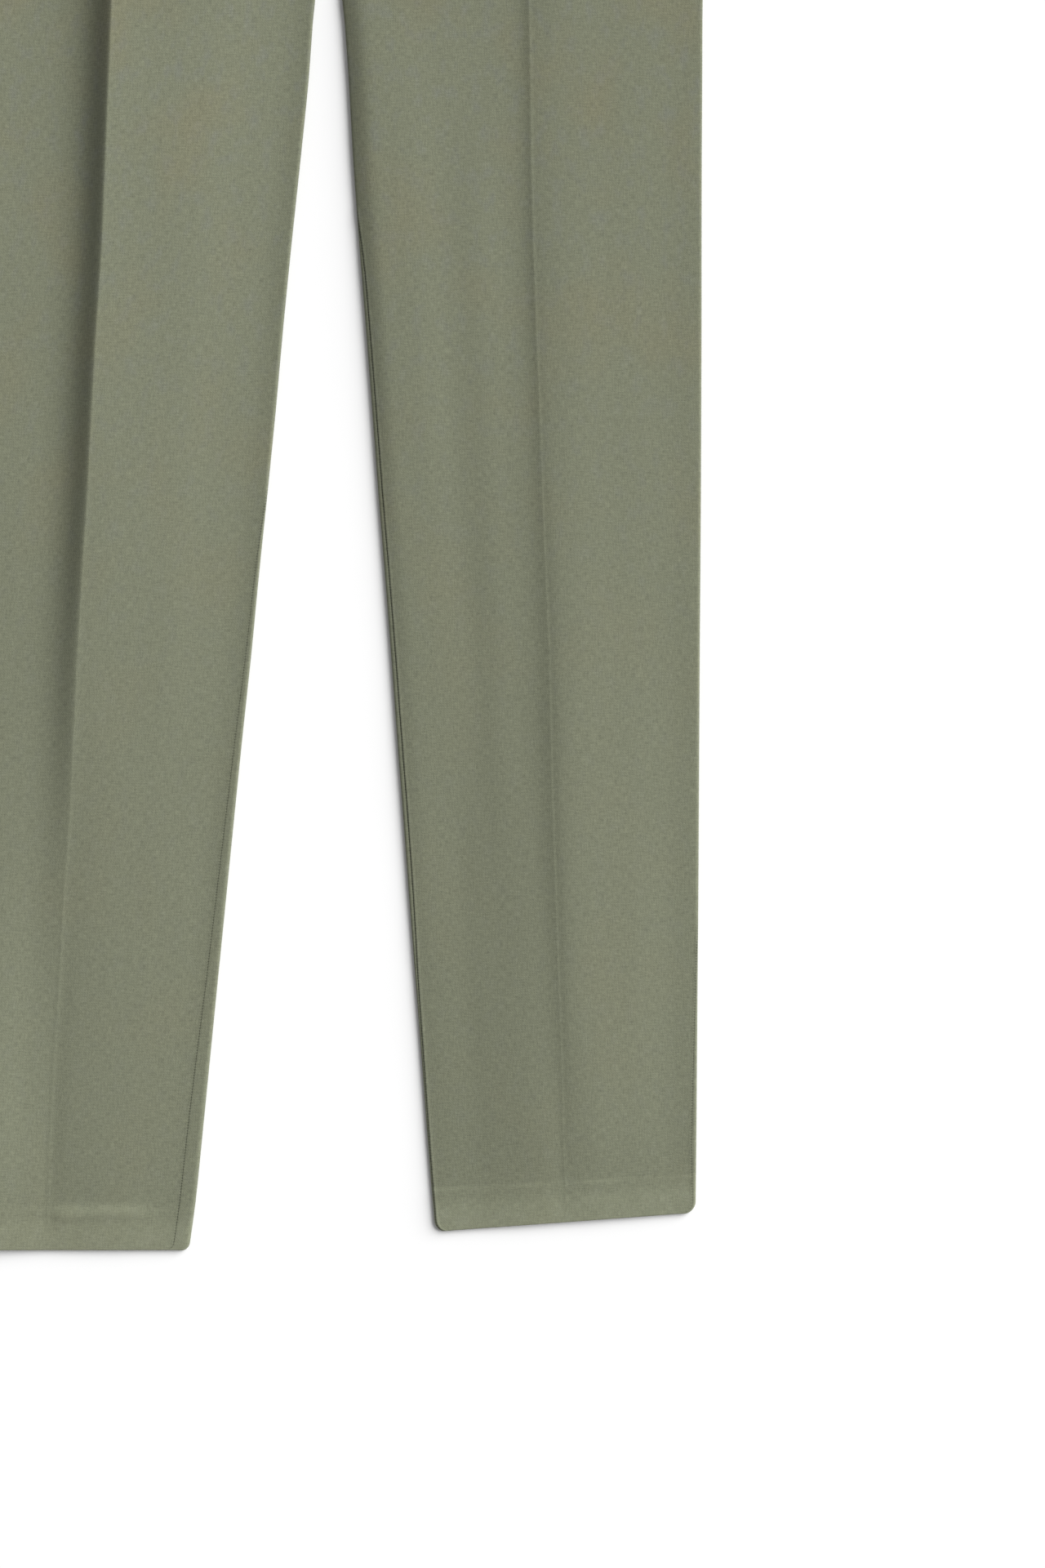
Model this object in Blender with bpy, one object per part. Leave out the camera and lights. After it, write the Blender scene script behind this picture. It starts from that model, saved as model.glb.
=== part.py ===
"""Suit trousers laid flat, front up: two fronts, two backs, waistband, fly and zip.

+X is the wearer's left, +Y the waist, +Z up, and the backs rest on z = 0.
Sizes are worked out from the centre line (x = 0) and the crotch (y = 0), in mm.
"""
import math

import bpy
import numpy as np

MM = 0.001
CLOTH = 1.2            # wall of a panel
BAND = 2.0             # wall of the doubled waistband
SEAM = 0.3             # gap between two pieces at a seam
ROLL = 1.0             # radius of a leg's folded side, at the middle of the wall
ROLL_WAIST = 1.5       # the same radius at the waist
HEM_CORNERS = (7.5, 4.6)   # radius of the hem's rounded corners, left and right leg
HEM_DEPTH = 26.5       # the turned-up hem
HEM_STEP = 0.3         # how far the turned-up hem stands out
WAIST_HALF = 214.0     # half the laid width at the waist
FRONT_WAIST = 206.0    # front waist seam above the crotch, at the centre
SIDE_WAIST = 212.0     # waist seam at the side
BACK_WAIST = 230.0     # back waist seam at the centre
BAND_HIGH = 38.0
HIP_LIFT = 4.2         # how far the front stands over the back at the fly
HIP_FADE = (60.0, 205.0)    # across the front, from where to where that dies out
FLY_TOP = 203.0
FLY_END = 54.0
FLY_LAP = 2.5          # the left front laps over the right one
FLY_LIFT = CLOTH + SEAM + 0.3
FLY_FADE = (26.0, 60.0)     # across the left front, from where to where that lift dies out
FLY_START = (14.0, 34.0)    # up the left front, from where to where it grows
BAND_LAP = 30.0        # the right band runs on under the left one
BAND_LIFT = BAND + SEAM
BAND_FADE = (34.0, 74.0)    # across the left band, from where to where its lift dies out
BAND_FLAT = (190.0, 150.0, 105.0, 55.0)     # places across the flat of the back band
FRONT_BAND_FLAT = (48.0, 60.0, 74.0, 100.0, 130.0, 165.0)
TAPE = 0.6
CHAIN = 0.7
SHIELD = 1.0
CHAIN_X = 7.0          # middle of the zip's chain, to the wearer's left of the centre
CHAIN_HALF = 3.0
BUTTON_X = 13.0
BUTTON_RINGS = ((5.6, 0.0), (7.1, 0.5), (7.5, 1.2), (7.2, 2.0), (6.4, 2.4), (5.2, 2.1), (4.4, 1.7))
BUTTON_AROUND = 32
HOLE_RADIUS = 1.0      # the button's four thread holes
HOLE_SPREAD = 1.7
HOLE_SIDES = 8
GAP_TOP = -39.8        # where the legs' straight inner edges start, under the arch

# The laid legs, a row for each place down the leg: the height of the row above the crotch, and the
# inner fold edge, the crease and the outer fold edge as distances from the centre line.
COLUMNS = ("y", "inner", "crease", "outer")
LEFT_LEG = (
    (212.0, 0.15, 106.0, 214.0),
    (185.0, 0.15, 110.0, 226.0),
    (145.0, 0.15, 116.0, 241.0),
    (100.0, 0.15, 121.0, 249.5),
    (50.0, 0.15, 125.5, 248.4),
    (0.0, 0.15, 128.5, 244.4),
    (-39.8, 9.5, 130.4, 243.0),
    (-92.8, 13.3, 131.4, 242.8),
    (-145.8, 16.1, 132.0, 242.5),
    (-198.8, 20.1, 133.3, 242.4),
    (-251.8, 24.3, 135.2, 242.4),
    (-304.8, 28.4, 137.3, 242.2),
    (-357.8, 32.3, 139.1, 242.0),
    (-410.8, 36.6, 141.2, 241.6),
    (-463.8, 40.7, 143.6, 241.2),
    (-516.8, 44.5, 144.7, 240.9),
    (-569.8, 48.6, 146.0, 240.6),
    (-622.8, 52.5, 147.9, 240.3),
    (-675.8, 56.6, 149.7, 239.8),
    (-728.8, 60.8, 151.6, 239.4),
    (-781.8, 64.7, 152.6, 239.0),
    (-808.0, 66.8, 153.8, 238.8),
    (-832.0, 68.9, 154.8, 238.6),
)
RIGHT_LEG = (
    (212.0, 0.15, 110.0, 214.0),
    (185.0, 0.15, 115.0, 226.0),
    (145.0, 0.15, 122.0, 241.0),
    (100.0, 0.15, 128.5, 249.5),
    (50.0, 0.15, 134.0, 248.4),
    (0.0, 0.15, 137.3, 245.4),
    (-39.8, 9.0, 139.4, 244.9),
    (-92.8, 12.7, 141.5, 246.6),
    (-145.8, 18.2, 143.7, 248.2),
    (-198.8, 23.9, 145.8, 249.8),
    (-251.8, 29.2, 149.5, 251.2),
    (-304.8, 33.9, 152.7, 252.8),
    (-357.8, 39.2, 155.3, 254.4),
    (-410.8, 44.8, 159.0, 256.0),
    (-463.8, 49.8, 162.2, 257.6),
    (-516.8, 55.6, 164.9, 259.2),
    (-569.8, 61.0, 167.5, 260.8),
    (-622.8, 66.3, 171.7, 262.3),
    (-675.8, 71.6, 174.4, 263.9),
    (-728.8, 76.9, 178.1, 265.5),
    (-781.8, 82.2, 180.8, 267.1),
    (-820.0, 86.0, 181.9, 268.2),
    (-850.0, 90.3, 182.7, 268.7),
)
# How the fronts lie: rise over the folded side at places across the leg, from the inner edge out.
#   brim             the inner edge itself
#   roll, swell      ROLL_IN and SWELL_IN inside it
#   middle           half way to the crease
#   near             NEAR_CREASE before the crease
#   foot, crest      foot and top of the crease; it is steep on its -X side
#   beyond           BEYOND_CREASE past the crease
#   outside          half way from the crease to the outer edge
#   far, rim         FAR_IN inside the outer edge, and that edge itself
#   flank            the steep side falls to 1/e over this distance
#   bow              1 where the steep side is sharp at its top, 2 where it is round
#   bank             the other side rises this much beside the crease, over BANK_REACH
ROLL_IN = 12.0
SWELL_IN = 32.0
NEAR_CREASE = 14.0
BEYOND_CREASE = 16.0
FAR_IN = 14.0
BANK_REACH = 4.5
LAY_COLUMNS = (
    "y", "brim", "roll", "swell", "middle", "near", "foot", "crest", "beyond", "outside", "far", "rim",
    "flank", "bow", "bank",
)
LEFT_LAY = (
    (212.0, 0.0, 0.3, 0.5, 0.8, 0.8, 0.8, 1.8, 1.2, 0.9, 0.4, 0.0, 5.0, 1.2, 0.2),
    (120.0, 0.0, 0.4, 0.8, 0.9, 0.9, 0.9, 2.2, 1.8, 1.2, 0.5, 0.1, 5.0, 1.2, 0.3),
    (50.0, 0.0, 0.8, 1.6, 1.5, 1.1, 1.0, 2.5, 2.6, 1.7, 0.6, 0.4, 5.0, 1.2, 0.3),
    (0.0, 0.33, 3.0, 3.4, 2.3, 1.4, 1.0, 2.7, 3.2, 2.1, 0.6, 0.5, 5.0, 1.2, 0.3),
    (-40.0, 1.1, 5.3, 4.6, 2.9, 1.5, 1.1, 2.8, 3.5, 2.3, 0.6, 0.5, 5.0, 1.2, 0.3),
    (-120.0, 0.99, 5.2, 4.6, 2.8, 1.5, 1.1, 2.9, 3.7, 2.5, 0.6, 0.5, 5.2, 1.2, 0.5),
    (-200.0, 0.88, 4.8, 4.4, 2.6, 1.6, 1.2, 3.1, 4.1, 2.7, 0.6, 0.5, 5.5, 1.2, 0.7),
    (-300.0, 0.77, 3.9, 3.6, 2.2, 2.0, 1.6, 3.6, 4.7, 3.0, 0.8, 0.7, 6.0, 1.25, 1.0),
    (-400.0, 0.66, 2.6, 2.4, 1.8, 2.4, 2.1, 4.3, 5.5, 3.6, 1.3, 1.1, 7.0, 1.3, 1.4),
    (-500.0, 0.61, 2.1, 1.9, 1.9, 3.1, 2.8, 5.2, 6.3, 4.1, 1.6, 1.4, 7.6, 1.35, 1.6),
    (-600.0, 0.55, 1.5, 1.5, 2.4, 3.8, 3.5, 5.7, 6.7, 4.4, 1.6, 1.4, 7.5, 1.35, 1.7),
    (-700.0, 0.44, 1.2, 2.0, 3.1, 4.6, 4.3, 5.5, 6.3, 4.2, 1.4, 1.2, 6.5, 1.3, 1.4),
    (-780.0, 0.39, 1.0, 2.1, 3.1, 4.6, 3.9, 4.4, 5.1, 3.3, 1.2, 1.0, 5.5, 1.2, 0.8),
    (-815.0, 0.28, 0.7, 1.3, 1.9, 2.8, 2.2, 2.4, 3.0, 1.9, 0.7, 0.6, 5.0, 1.2, 0.3),
    (-850.0, 0.06, 0.1, 0.2, 0.4, 0.5, 0.4, 0.5, 0.6, 0.4, 0.1, 0.1, 4.0, 1.2, 0.1),
)
RIGHT_LAY = (
    (212.0, 0.0, 0.3, 0.6, 1.2, 2.2, 0.8, 2.8, 0.8, 0.8, 0.5, 0.0, 8.0, 1.2, 0.0),
    (120.0, 0.0, 0.4, 1.1, 3.0, 6.0, 0.9, 7.0, 0.8, 1.2, 1.4, 0.2, 9.5, 1.2, 0.0),
    (50.0, 0.0, 0.5, 1.6, 5.4, 9.8, 1.0, 11.3, 0.8, 1.8, 2.8, 0.6, 8.9, 1.45, 0.0),
    (0.0, 0.3, 0.5, 2.0, 6.6, 12.1, 1.0, 13.9, 0.7, 2.2, 4.0, 0.72, 9.4, 1.45, 0.0),
    (-40.0, 1.2, 0.6, 2.2, 6.9, 12.8, 0.9, 14.6, 0.5, 2.3, 4.6, 0.8, 9.6, 1.45, 0.0),
    (-120.0, 1.35, 0.6, 2.2, 6.9, 12.5, 0.9, 14.3, 0.5, 2.5, 4.6, 0.8, 9.6, 1.45, 0.0),
    (-200.0, 1.35, 0.6, 2.2, 6.1, 11.1, 0.9, 12.8, 0.5, 2.7, 4.6, 0.8, 9.6, 1.45, 0.0),
    (-300.0, 1.35, 0.6, 2.0, 5.4, 9.7, 0.9, 11.1, 0.6, 2.4, 3.8, 0.72, 9.6, 1.45, 0.0),
    (-400.0, 1.35, 0.6, 1.9, 4.8, 8.5, 0.9, 9.5, 0.7, 1.9, 2.6, 0.64, 10.2, 1.5, 0.0),
    (-500.0, 1.27, 0.6, 1.8, 3.9, 6.1, 0.9, 6.8, 1.2, 1.8, 1.9, 0.64, 11.6, 1.55, 0.0),
    (-600.0, 1.2, 0.6, 1.7, 2.9, 3.9, 1.3, 3.8, 2.2, 3.4, 3.0, 0.8, 12.1, 1.55, 0.0),
    (-700.0, 1.05, 0.6, 1.6, 2.5, 3.0, 1.6, 2.3, 3.0, 6.2, 5.6, 0.96, 13.0, 1.5, 0.0),
    (-780.0, 0.9, 0.6, 1.4, 2.1, 2.4, 1.5, 1.7, 3.8, 7.8, 6.7, 1.04, 12.0, 1.5, 0.0),
    (-815.0, 0.6, 0.5, 1.1, 1.6, 1.8, 1.2, 1.3, 3.0, 6.2, 5.2, 0.8, 10.0, 1.5, 0.0),
    (-850.0, 0.22, 0.3, 0.5, 0.7, 0.8, 0.5, 0.6, 1.4, 2.8, 2.3, 0.4, 8.0, 1.5, 0.0),
)
# Strips of the back that show beside the front: distance of the seam from the fold edge.
SEAM_COLUMNS = ("y", "inseam", "outseam")
LEFT_SEAMS = (
    (212.0, 0.0, 0.0),
    (-170.0, 0.0, 0.0),
    (-215.0, 2.6, 0.0),
    (-569.8, 3.1, 0.0),
    (-622.8, 2.9, 0.0),
    (-675.8, 1.7, 1.6),
    (-728.8, 1.3, 2.6),
    (-781.8, 1.1, 3.6),
    (-832.0, 1.0, 2.4),
)
RIGHT_SEAMS = (
    (212.0, 0.0, 0.0),
    (-350.0, 0.0, 0.0),
    (-400.0, 2.6, 0.0),
    (-463.8, 3.7, 0.0),
    (-569.8, 5.6, 0.0),
    (-675.8, 7.6, 0.0),
    (-728.8, 9.2, 0.0),
    (-781.8, 10.2, 0.0),
    (-850.0, 10.6, 0.0),
)
# The hem line: how far it is below the crotch at the inner and at the outer edge.
LEFT_HEM = (839.05, 826.65)
RIGHT_HEM = (851.0, 851.0)
# Rows close to the crotch: height and how far the legs are parted there.
ARCH = ((0.0, 0.15), (-1.2, 2.2), (-4.0, 4.2), (-10.0, 6.2), (-22.0, 8.2))
MIDDLE = (9.6, 291.35)          # puts the box's middle on the origin
# More rows where a strip of the back starts to show, and above the crotch.
MORE_ROWS = (34.0, 16.0, -172.0, -185.0, -215.0, -350.0, -375.0, -390.0, -648.0)

# Places across a panel: shares of the way from one edge to the crease, and mm beside it.
EDGE_STEPS = (0.0, 0.5, 1.0, 2.4)
SPAN = (0.07, 0.16, 0.29, 0.45, 0.63, 0.82)
# mm beside the crease, on its -X and its +X flank
RIDGE_LEFT = (-21.0, -13.0, -7.0, -2.5)
RIDGE_RIGHT = (2.5, 8.0, 17.0)
BACK_SPAN = (0.1, 0.5, 0.9)

CLOTH_COLOUR = (0.208, 0.216, 0.152)
BAND_COLOUR = (0.200, 0.208, 0.146)
SHIELD_COLOUR = (0.170, 0.176, 0.126)
TAPE_COLOUR = (0.120, 0.122, 0.090)
METAL_COLOUR = (0.500, 0.480, 0.430)
BUTTON_COLOUR = (0.090, 0.080, 0.060)


def smooth(x, start, end):
    """0 before start, 1 after end, with a soft step between."""
    t = min(max((x - start) / (end - start), 0.0), 1.0)
    return t * t * (3.0 - 2.0 * t)


def column(table, names, name, y):
    """The named column of a table at the height y, rows running downwards."""
    data = np.array(table)[::-1]
    return float(np.interp(y, data[:, 0], data[:, names.index(name)]))


def through(x, places, heights):
    """The height at x on a curve through the points, with no hump between them."""
    steps = range(len(places) - 1)
    slopes = [(heights[k + 1] - heights[k]) / (places[k + 1] - places[k]) for k in steps]
    turns = [slopes[0]]
    for before, after in zip(slopes, slopes[1:]):
        turns.append(2.0 * before * after / (before + after) if before * after > 0.0 else 0.0)
    turns.append(slopes[-1])
    x = min(max(x, places[0]), places[-1])
    k = max(i for i in steps if places[i] <= x)
    wide = places[k + 1] - places[k]
    t = (x - places[k]) / wide
    start = heights[k] * (1.0 + 2.0 * t) + turns[k] * wide * t
    end = heights[k + 1] * (3.0 - 2.0 * t) - turns[k + 1] * wide * (1.0 - t)
    return start * (1.0 - t) ** 2 + end * t ** 2


class Side:
    """One half of the trousers: sign +1 is the wearer's left, -1 the right."""

    def __init__(self, sign, leg, lay, seams, hem, hem_corner):
        self.sign = sign
        self.hem_corner = hem_corner
        self.leg = leg
        self.lay = lay
        self.seams = seams
        self.hem = hem

    def at(self, name, y):
        return column(self.leg, COLUMNS, name, y)

    def inner(self, y):
        if y >= 0.0:
            return ARCH[0][1]
        if y > GAP_TOP:
            depths = [-row[0] for row in ARCH] + [-GAP_TOP]
            parted = [row[1] for row in ARCH] + [self.at("inner", GAP_TOP)]
            return float(np.interp(-y, depths, parted))
        return self.at("inner", y)

    def corner(self, above):
        """How far the hem's rounded corner draws an edge in, `above` mm above the hem."""
        radius = self.hem_corner
        if above >= radius:
            return 0.0
        return radius - math.sqrt(radius ** 2 - (radius - above) ** 2)

    def roll(self, y):
        return ROLL + (ROLL_WAIST - ROLL) * smooth(y, 60.0, SIDE_WAIST)

    def rise(self, x, y):
        """How far the front's middle stands above the rolled edges, at x from the centre."""
        inner, crease, outer = self.inner(y), self.at("crease", y), self.at("outer", y)
        lay = {name: column(self.lay, LAY_COLUMNS, name, y) for name in LAY_COLUMNS[1:]}
        inward = x < crease
        steep = inward == (self.sign > 0)
        start = lay["foot"] if steep else lay["crest"] + lay["bank"]
        if inward:
            places = (inner, inner + ROLL_IN, inner + SWELL_IN, (inner + crease) / 2,
                      crease - NEAR_CREASE, crease)
            heights = (lay["brim"], lay["roll"], lay["swell"], lay["middle"], lay["near"], start)
        else:
            places = (crease, crease + BEYOND_CREASE, (crease + outer) / 2, outer - FAR_IN, outer)
            heights = (start, lay["beyond"], lay["outside"], lay["far"], lay["rim"])
        height = through(x, places, heights)
        away = abs(x - crease)
        if steep:
            height += (lay["crest"] - lay["foot"]) * math.exp(-(away / lay["flank"]) ** lay["bow"])
        else:
            height -= lay["bank"] * math.exp(-away / BANK_REACH)
        hip = smooth(y, -60.0 * smooth(x - inner, 4.0, 60.0), 50.0)
        return height + HIP_LIFT * hip * (1.0 - smooth(x, *HIP_FADE))

    def hem_rise(self, above):
        return HEM_STEP * (1.0 - smooth(above, HEM_DEPTH - 1.5, HEM_DEPTH + 1.0))

    def top(self, x, y):
        """Height of the front's middle surface at x from the centre line."""
        return CLOTH / 2 + 2 * self.roll(y) + self.rise(x, y)


def bend(radius, s):
    """A folded edge: s runs along it from half height, up positive: (in, up, normal)."""
    quarter = radius * math.pi / 2
    if abs(s) <= quarter:
        turn = s / radius
        return radius * (1 - math.cos(turn)), radius * math.sin(turn), (-math.cos(turn), math.sin(turn))
    side = 1.0 if s > 0 else -1.0
    return radius + abs(s) - quarter, side * radius, (0.0, side)


def strip_length(radius, strip):
    """The way along the fold to a seam that lies `strip` in from the edge's middle line."""
    if strip <= 0.0:
        return 0.0
    if strip < radius:
        return radius * math.acos(1 - strip / radius)
    return radius * math.pi / 2 + strip - radius


def seam_places(side, y, name, closed):
    """Where the front starts and the back ends along a fold, closed at the centre seam."""
    radius = side.roll(y)
    strip = column(side.seams, SEAM_COLUMNS, name, y) - CLOTH / 2
    way = strip_length(radius, strip)
    quarter = radius * math.pi / 2
    front = way + SEAM / 2 + (quarter - way - SEAM / 2) * closed
    back = way - SEAM / 2 + (-quarter - way + SEAM / 2) * closed
    return front, back


def front_section(side, y, above, lap, lift):
    """Points (x, z) and normals across a front, from the centre outwards."""
    radius = side.roll(y)
    base = CLOTH / 2 + radius
    draw = side.corner(above)
    shut = smooth(y, -6.0, 0.0)
    inner = side.inner(y) - shut * radius + (1.0 - shut) * CLOTH / 2 + draw - lap
    outer = side.at("outer", y) - CLOTH / 2 - draw
    crease = side.at("crease", y)
    start = seam_places(side, y, "inseam", shut)[0]
    finish = seam_places(side, y, "outseam", 0.0)[0]
    quarter = radius * math.pi / 2

    def crown(x):
        return radius + side.rise(x, y) + side.hem_rise(above) + lift(x)

    points, normals = [], []

    def edge(place, s, sign):
        into, up, normal = bend(radius, s)
        x = place + sign * into
        part = min(max(s / quarter, 0.0), 1.0)
        extra = (crown(x) - radius) * part ** 2
        points.append((x, base + up + extra))
        normals.append((sign * normal[0], normal[1]))

    for step in EDGE_STEPS:
        edge(inner, start + step * (quarter if start < quarter else 2.0), 1.0)
    first = points[-1][0]
    last_s = finish + EDGE_STEPS[-1] * (quarter if finish < quarter else 2.0)
    last = outer - bend(radius, last_s)[0]
    ridge_in = RIDGE_LEFT if side.sign > 0 else [-v for v in reversed(RIDGE_RIGHT)]
    ridge_out = RIDGE_RIGHT if side.sign > 0 else [-v for v in reversed(RIDGE_LEFT)]
    xs = [first + (crease + ridge_in[0] - first) * s for s in SPAN]
    xs += [crease + v for v in ridge_in] + [crease] + [crease + v for v in ridge_out]
    xs += [crease + ridge_out[-1] + (last - crease - ridge_out[-1]) * (1 - s) for s in reversed(SPAN)]
    for x in xs:
        points.append((x, base + crown(x)))
        slope = crown(x + 0.5) - crown(x - 0.5)
        size = math.hypot(slope, 1.0)
        normals.append((-slope / size, 1.0 / size))
    for step in reversed(EDGE_STEPS):
        edge(outer, finish + step * (quarter if finish < quarter else 2.0), -1.0)
    return points, normals


def back_section(side, y, above):
    """Points and normals across a back, from the inseam under the leg to the outseam."""
    radius = side.roll(y)
    base = CLOTH / 2 + radius
    draw = side.corner(above)
    shut = smooth(y, -6.0, 0.0)
    inner = side.inner(y) - shut * radius + (1.0 - shut) * CLOTH / 2 + draw
    outer = side.at("outer", y) - CLOTH / 2 - draw
    quarter = radius * math.pi / 2
    points, normals = [], []

    def edge(place, s, sign):
        into, up, normal = bend(radius, s)
        part = min(max(s / quarter, 0.0), 1.0)
        x = place + sign * into
        extra = (side.rise(x, y) + side.hem_rise(above)) * part ** 2
        points.append((x, base + up + extra))
        normals.append((sign * normal[0], normal[1]))

    def places(end):
        """Steps along a fold from its free end down to the flat underside."""
        if end > quarter:
            return [end, quarter, quarter * 0.35, -quarter * 0.35, -quarter]
        return [end - (end + quarter) * v for v in (0.0, 0.25, 0.5, 0.75, 1.0)]

    for s in places(seam_places(side, y, "inseam", shut)[1]):
        edge(inner, s, 1.0)
    x0, x1 = inner + radius, outer - radius
    for share in BACK_SPAN:
        points.append((x0 + (x1 - x0) * share, CLOTH / 2))
        normals.append((0.0, -1.0))
    for s in reversed(places(seam_places(side, y, "outseam", 0.0)[1])):
        edge(outer, s, -1.0)
    return points, normals


def solid(name, outside, inside, material, smooth_faces=True):
    """A closed wall between two grids of points, rows down and columns across."""
    outside, inside = np.array(outside), np.array(inside)
    rows, cols = outside.shape[:2]
    count = rows * cols
    verts = np.concatenate([outside.reshape(-1, 3), inside.reshape(-1, 3)]) * MM
    verts[:, 0] += MIDDLE[0] * MM
    verts[:, 1] += MIDDLE[1] * MM
    faces = []
    for i in range(rows - 1):
        for j in range(cols - 1):
            a = i * cols + j
            b, c, d = a + 1, a + cols + 1, a + cols
            faces.append((a, b, c, d))
            faces.append((count + a, count + d, count + c, count + b))
    rim = [(i, 0) for i in range(rows)] + [(rows - 1, j) for j in range(1, cols)]
    rim += [(i, cols - 1) for i in range(rows - 2, -1, -1)] + [(0, j) for j in range(cols - 2, 0, -1)]
    ring = [i * cols + j for i, j in rim]
    for a, b in zip(ring, ring[1:] + ring[:1]):
        faces.append((a, b, count + b, count + a))
    return finish(name, verts, faces, material, smooth_faces)


def finish(name, verts, faces, material, smooth_faces=True):
    mesh = bpy.data.meshes.new(name)
    mesh.from_pydata([tuple(v) for v in verts], [], faces)
    mesh.validate()
    corners = np.array([v.co for v in mesh.vertices])
    volume = 0.0
    mesh.calc_loop_triangles()
    for tri in mesh.loop_triangles:
        a, b, c = corners[list(tri.vertices)]
        volume += float(np.dot(a, np.cross(b, c))) / 6.0
    if volume < 0.0:
        mesh.flip_normals()
    for poly in mesh.polygons:
        poly.use_smooth = smooth_faces
    mesh.materials.append(material)
    obj = bpy.data.objects.new(name, mesh)
    bpy.context.scene.collection.objects.link(obj)
    return obj


def material(name, colour, roughness, metallic):
    mat = bpy.data.materials.new(name)
    mat.use_nodes = True
    shader = mat.node_tree.nodes["Principled BSDF"]
    shader.inputs["Base Color"].default_value = colour + (1.0,)
    shader.inputs["Roughness"].default_value = roughness
    shader.inputs["Metallic"].default_value = metallic
    mat.diffuse_color = colour + (1.0,)
    return mat


def walls(sections, thick, sign):
    """Turns sections of (y places, points, normals) into the two faces of a wall."""
    outside, inside = [], []
    for ys, points, normals in sections:
        outer, inner = [], []
        for y, (x, z), (nx, nz) in zip(ys, points, normals):
            outer.append((sign * (x + nx * thick / 2), y, z + nz * thick / 2))
            inner.append((sign * (x - nx * thick / 2), y, z - nz * thick / 2))
        outside.append(outer)
        inside.append(inner)
    return outside, inside


def waist_line(x, back):
    """Height of the waist seam at x from the centre line."""
    share = min(abs(x) / WAIST_HALF, 1.0) ** 2
    centre = BACK_WAIST if back else FRONT_WAIST
    return centre + (SIDE_WAIST - centre) * share


def row_heights(side):
    """The rows of a panel, from the waist seam to the hem."""
    hem = max(side.hem)
    heights = [row[0] for row in side.leg if row[0] > -hem + HEM_DEPTH + 12.0]
    heights += [row[0] for row in ARCH]
    heights += MORE_ROWS
    heights += [-hem + above for above in (HEM_DEPTH + 1.0, HEM_DEPTH - 1.5)]
    heights += [-hem + side.hem_corner * share for share in (1.0, 0.45, 0.15, 0.0)]
    return sorted(set(heights), reverse=True), hem


def panel(side, back, name, mat):
    heights, hem = row_heights(side)
    drop = max(side.hem) - np.array(side.hem)
    sections = []
    for y in heights:
        above = y + hem
        if back:
            points, normals = back_section(side, y, above)
        else:
            lapped = smooth(y, FLY_START[1], FLY_END - 4.0) if side.sign > 0 else 0.0
            lifted = smooth(y, *FLY_START) if side.sign > 0 else 0.0
            lift = (lambda x, w=lifted: FLY_LIFT * w * (1.0 - smooth(x, *FLY_FADE)))
            points, normals = front_section(side, y, above, (FLY_LAP + 0.15) * lapped, lift)
        outer = side.at("outer", y)
        places = []
        near_hem = 1.0 - smooth(above, 0.0, 90.0)
        near_waist = smooth(y, 120.0, SIDE_WAIST)
        for x, _ in points:
            share = min(max((x - side.inner(y)) / (outer - side.inner(y)), 0.0), 1.0)
            tilt = (drop[0] + (drop[1] - drop[0]) * share) * near_hem
            top = (waist_line(x, back) - SIDE_WAIST) * near_waist
            places.append(y + tilt + top)
        sections.append((places, points, normals))
    outside, inside = walls(sections, CLOTH, side.sign)
    return solid(name, outside, inside, mat)


def band_front(side, name, mat):
    """Half of the front waistband, with its lap at the centre and its fold at the side."""
    rows = (0.0, 0.06, 0.5, 0.94, 1.0)
    centre_x = -(FLY_LAP + 0.5) if side.sign > 0 else -BAND_LAP
    lifted = BAND_LIFT if side.sign > 0 else 0.0
    radius = ROLL_WAIST + CLOTH / 2 - BAND / 2
    base = BAND / 2 + radius
    quarter = radius * math.pi / 2
    flat = WAIST_HALF - BAND / 2 - radius - 3.0
    xs = list(np.linspace(centre_x, BAND_FADE[0], 5)) + list(FRONT_BAND_FLAT) + [flat]

    def height(x):
        rise = side.rise(max(x, 0.2), SIDE_WAIST)
        return base + radius + rise + lifted * (1.0 - smooth(x, *BAND_FADE))

    sections = []
    for share in rows:
        pinch = 0.35 if share in (0.0, 1.0) else 0.0
        points, normals, places = [], [], []
        for x in xs:
            slope = height(x + 0.5) - height(x - 0.5)
            size = math.hypot(slope, 1.0)
            points.append((x, height(x)))
            normals.append((-slope / size * (1 - pinch), 1.0 / size * (1 - pinch)))
        for step in (1.3, 0.9, 0.5, 0.2, 0.0):
            s = SEAM / 2 + step * quarter
            into, up, normal = bend(radius, s)
            x = WAIST_HALF - BAND / 2 - into
            part = min(s / quarter, 1.0)
            points.append((x, base + up + (height(x) - base - radius) * part ** 2))
            normals.append((-normal[0] * (1 - pinch), normal[1] * (1 - pinch)))
        for x, _ in points:
            places.append(waist_line(x, False) + SEAM + BAND_HIGH * share)
        sections.append((places, points, normals))
    outside, inside = walls(sections, BAND, side.sign)
    return solid(name, outside, inside, mat)


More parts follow.
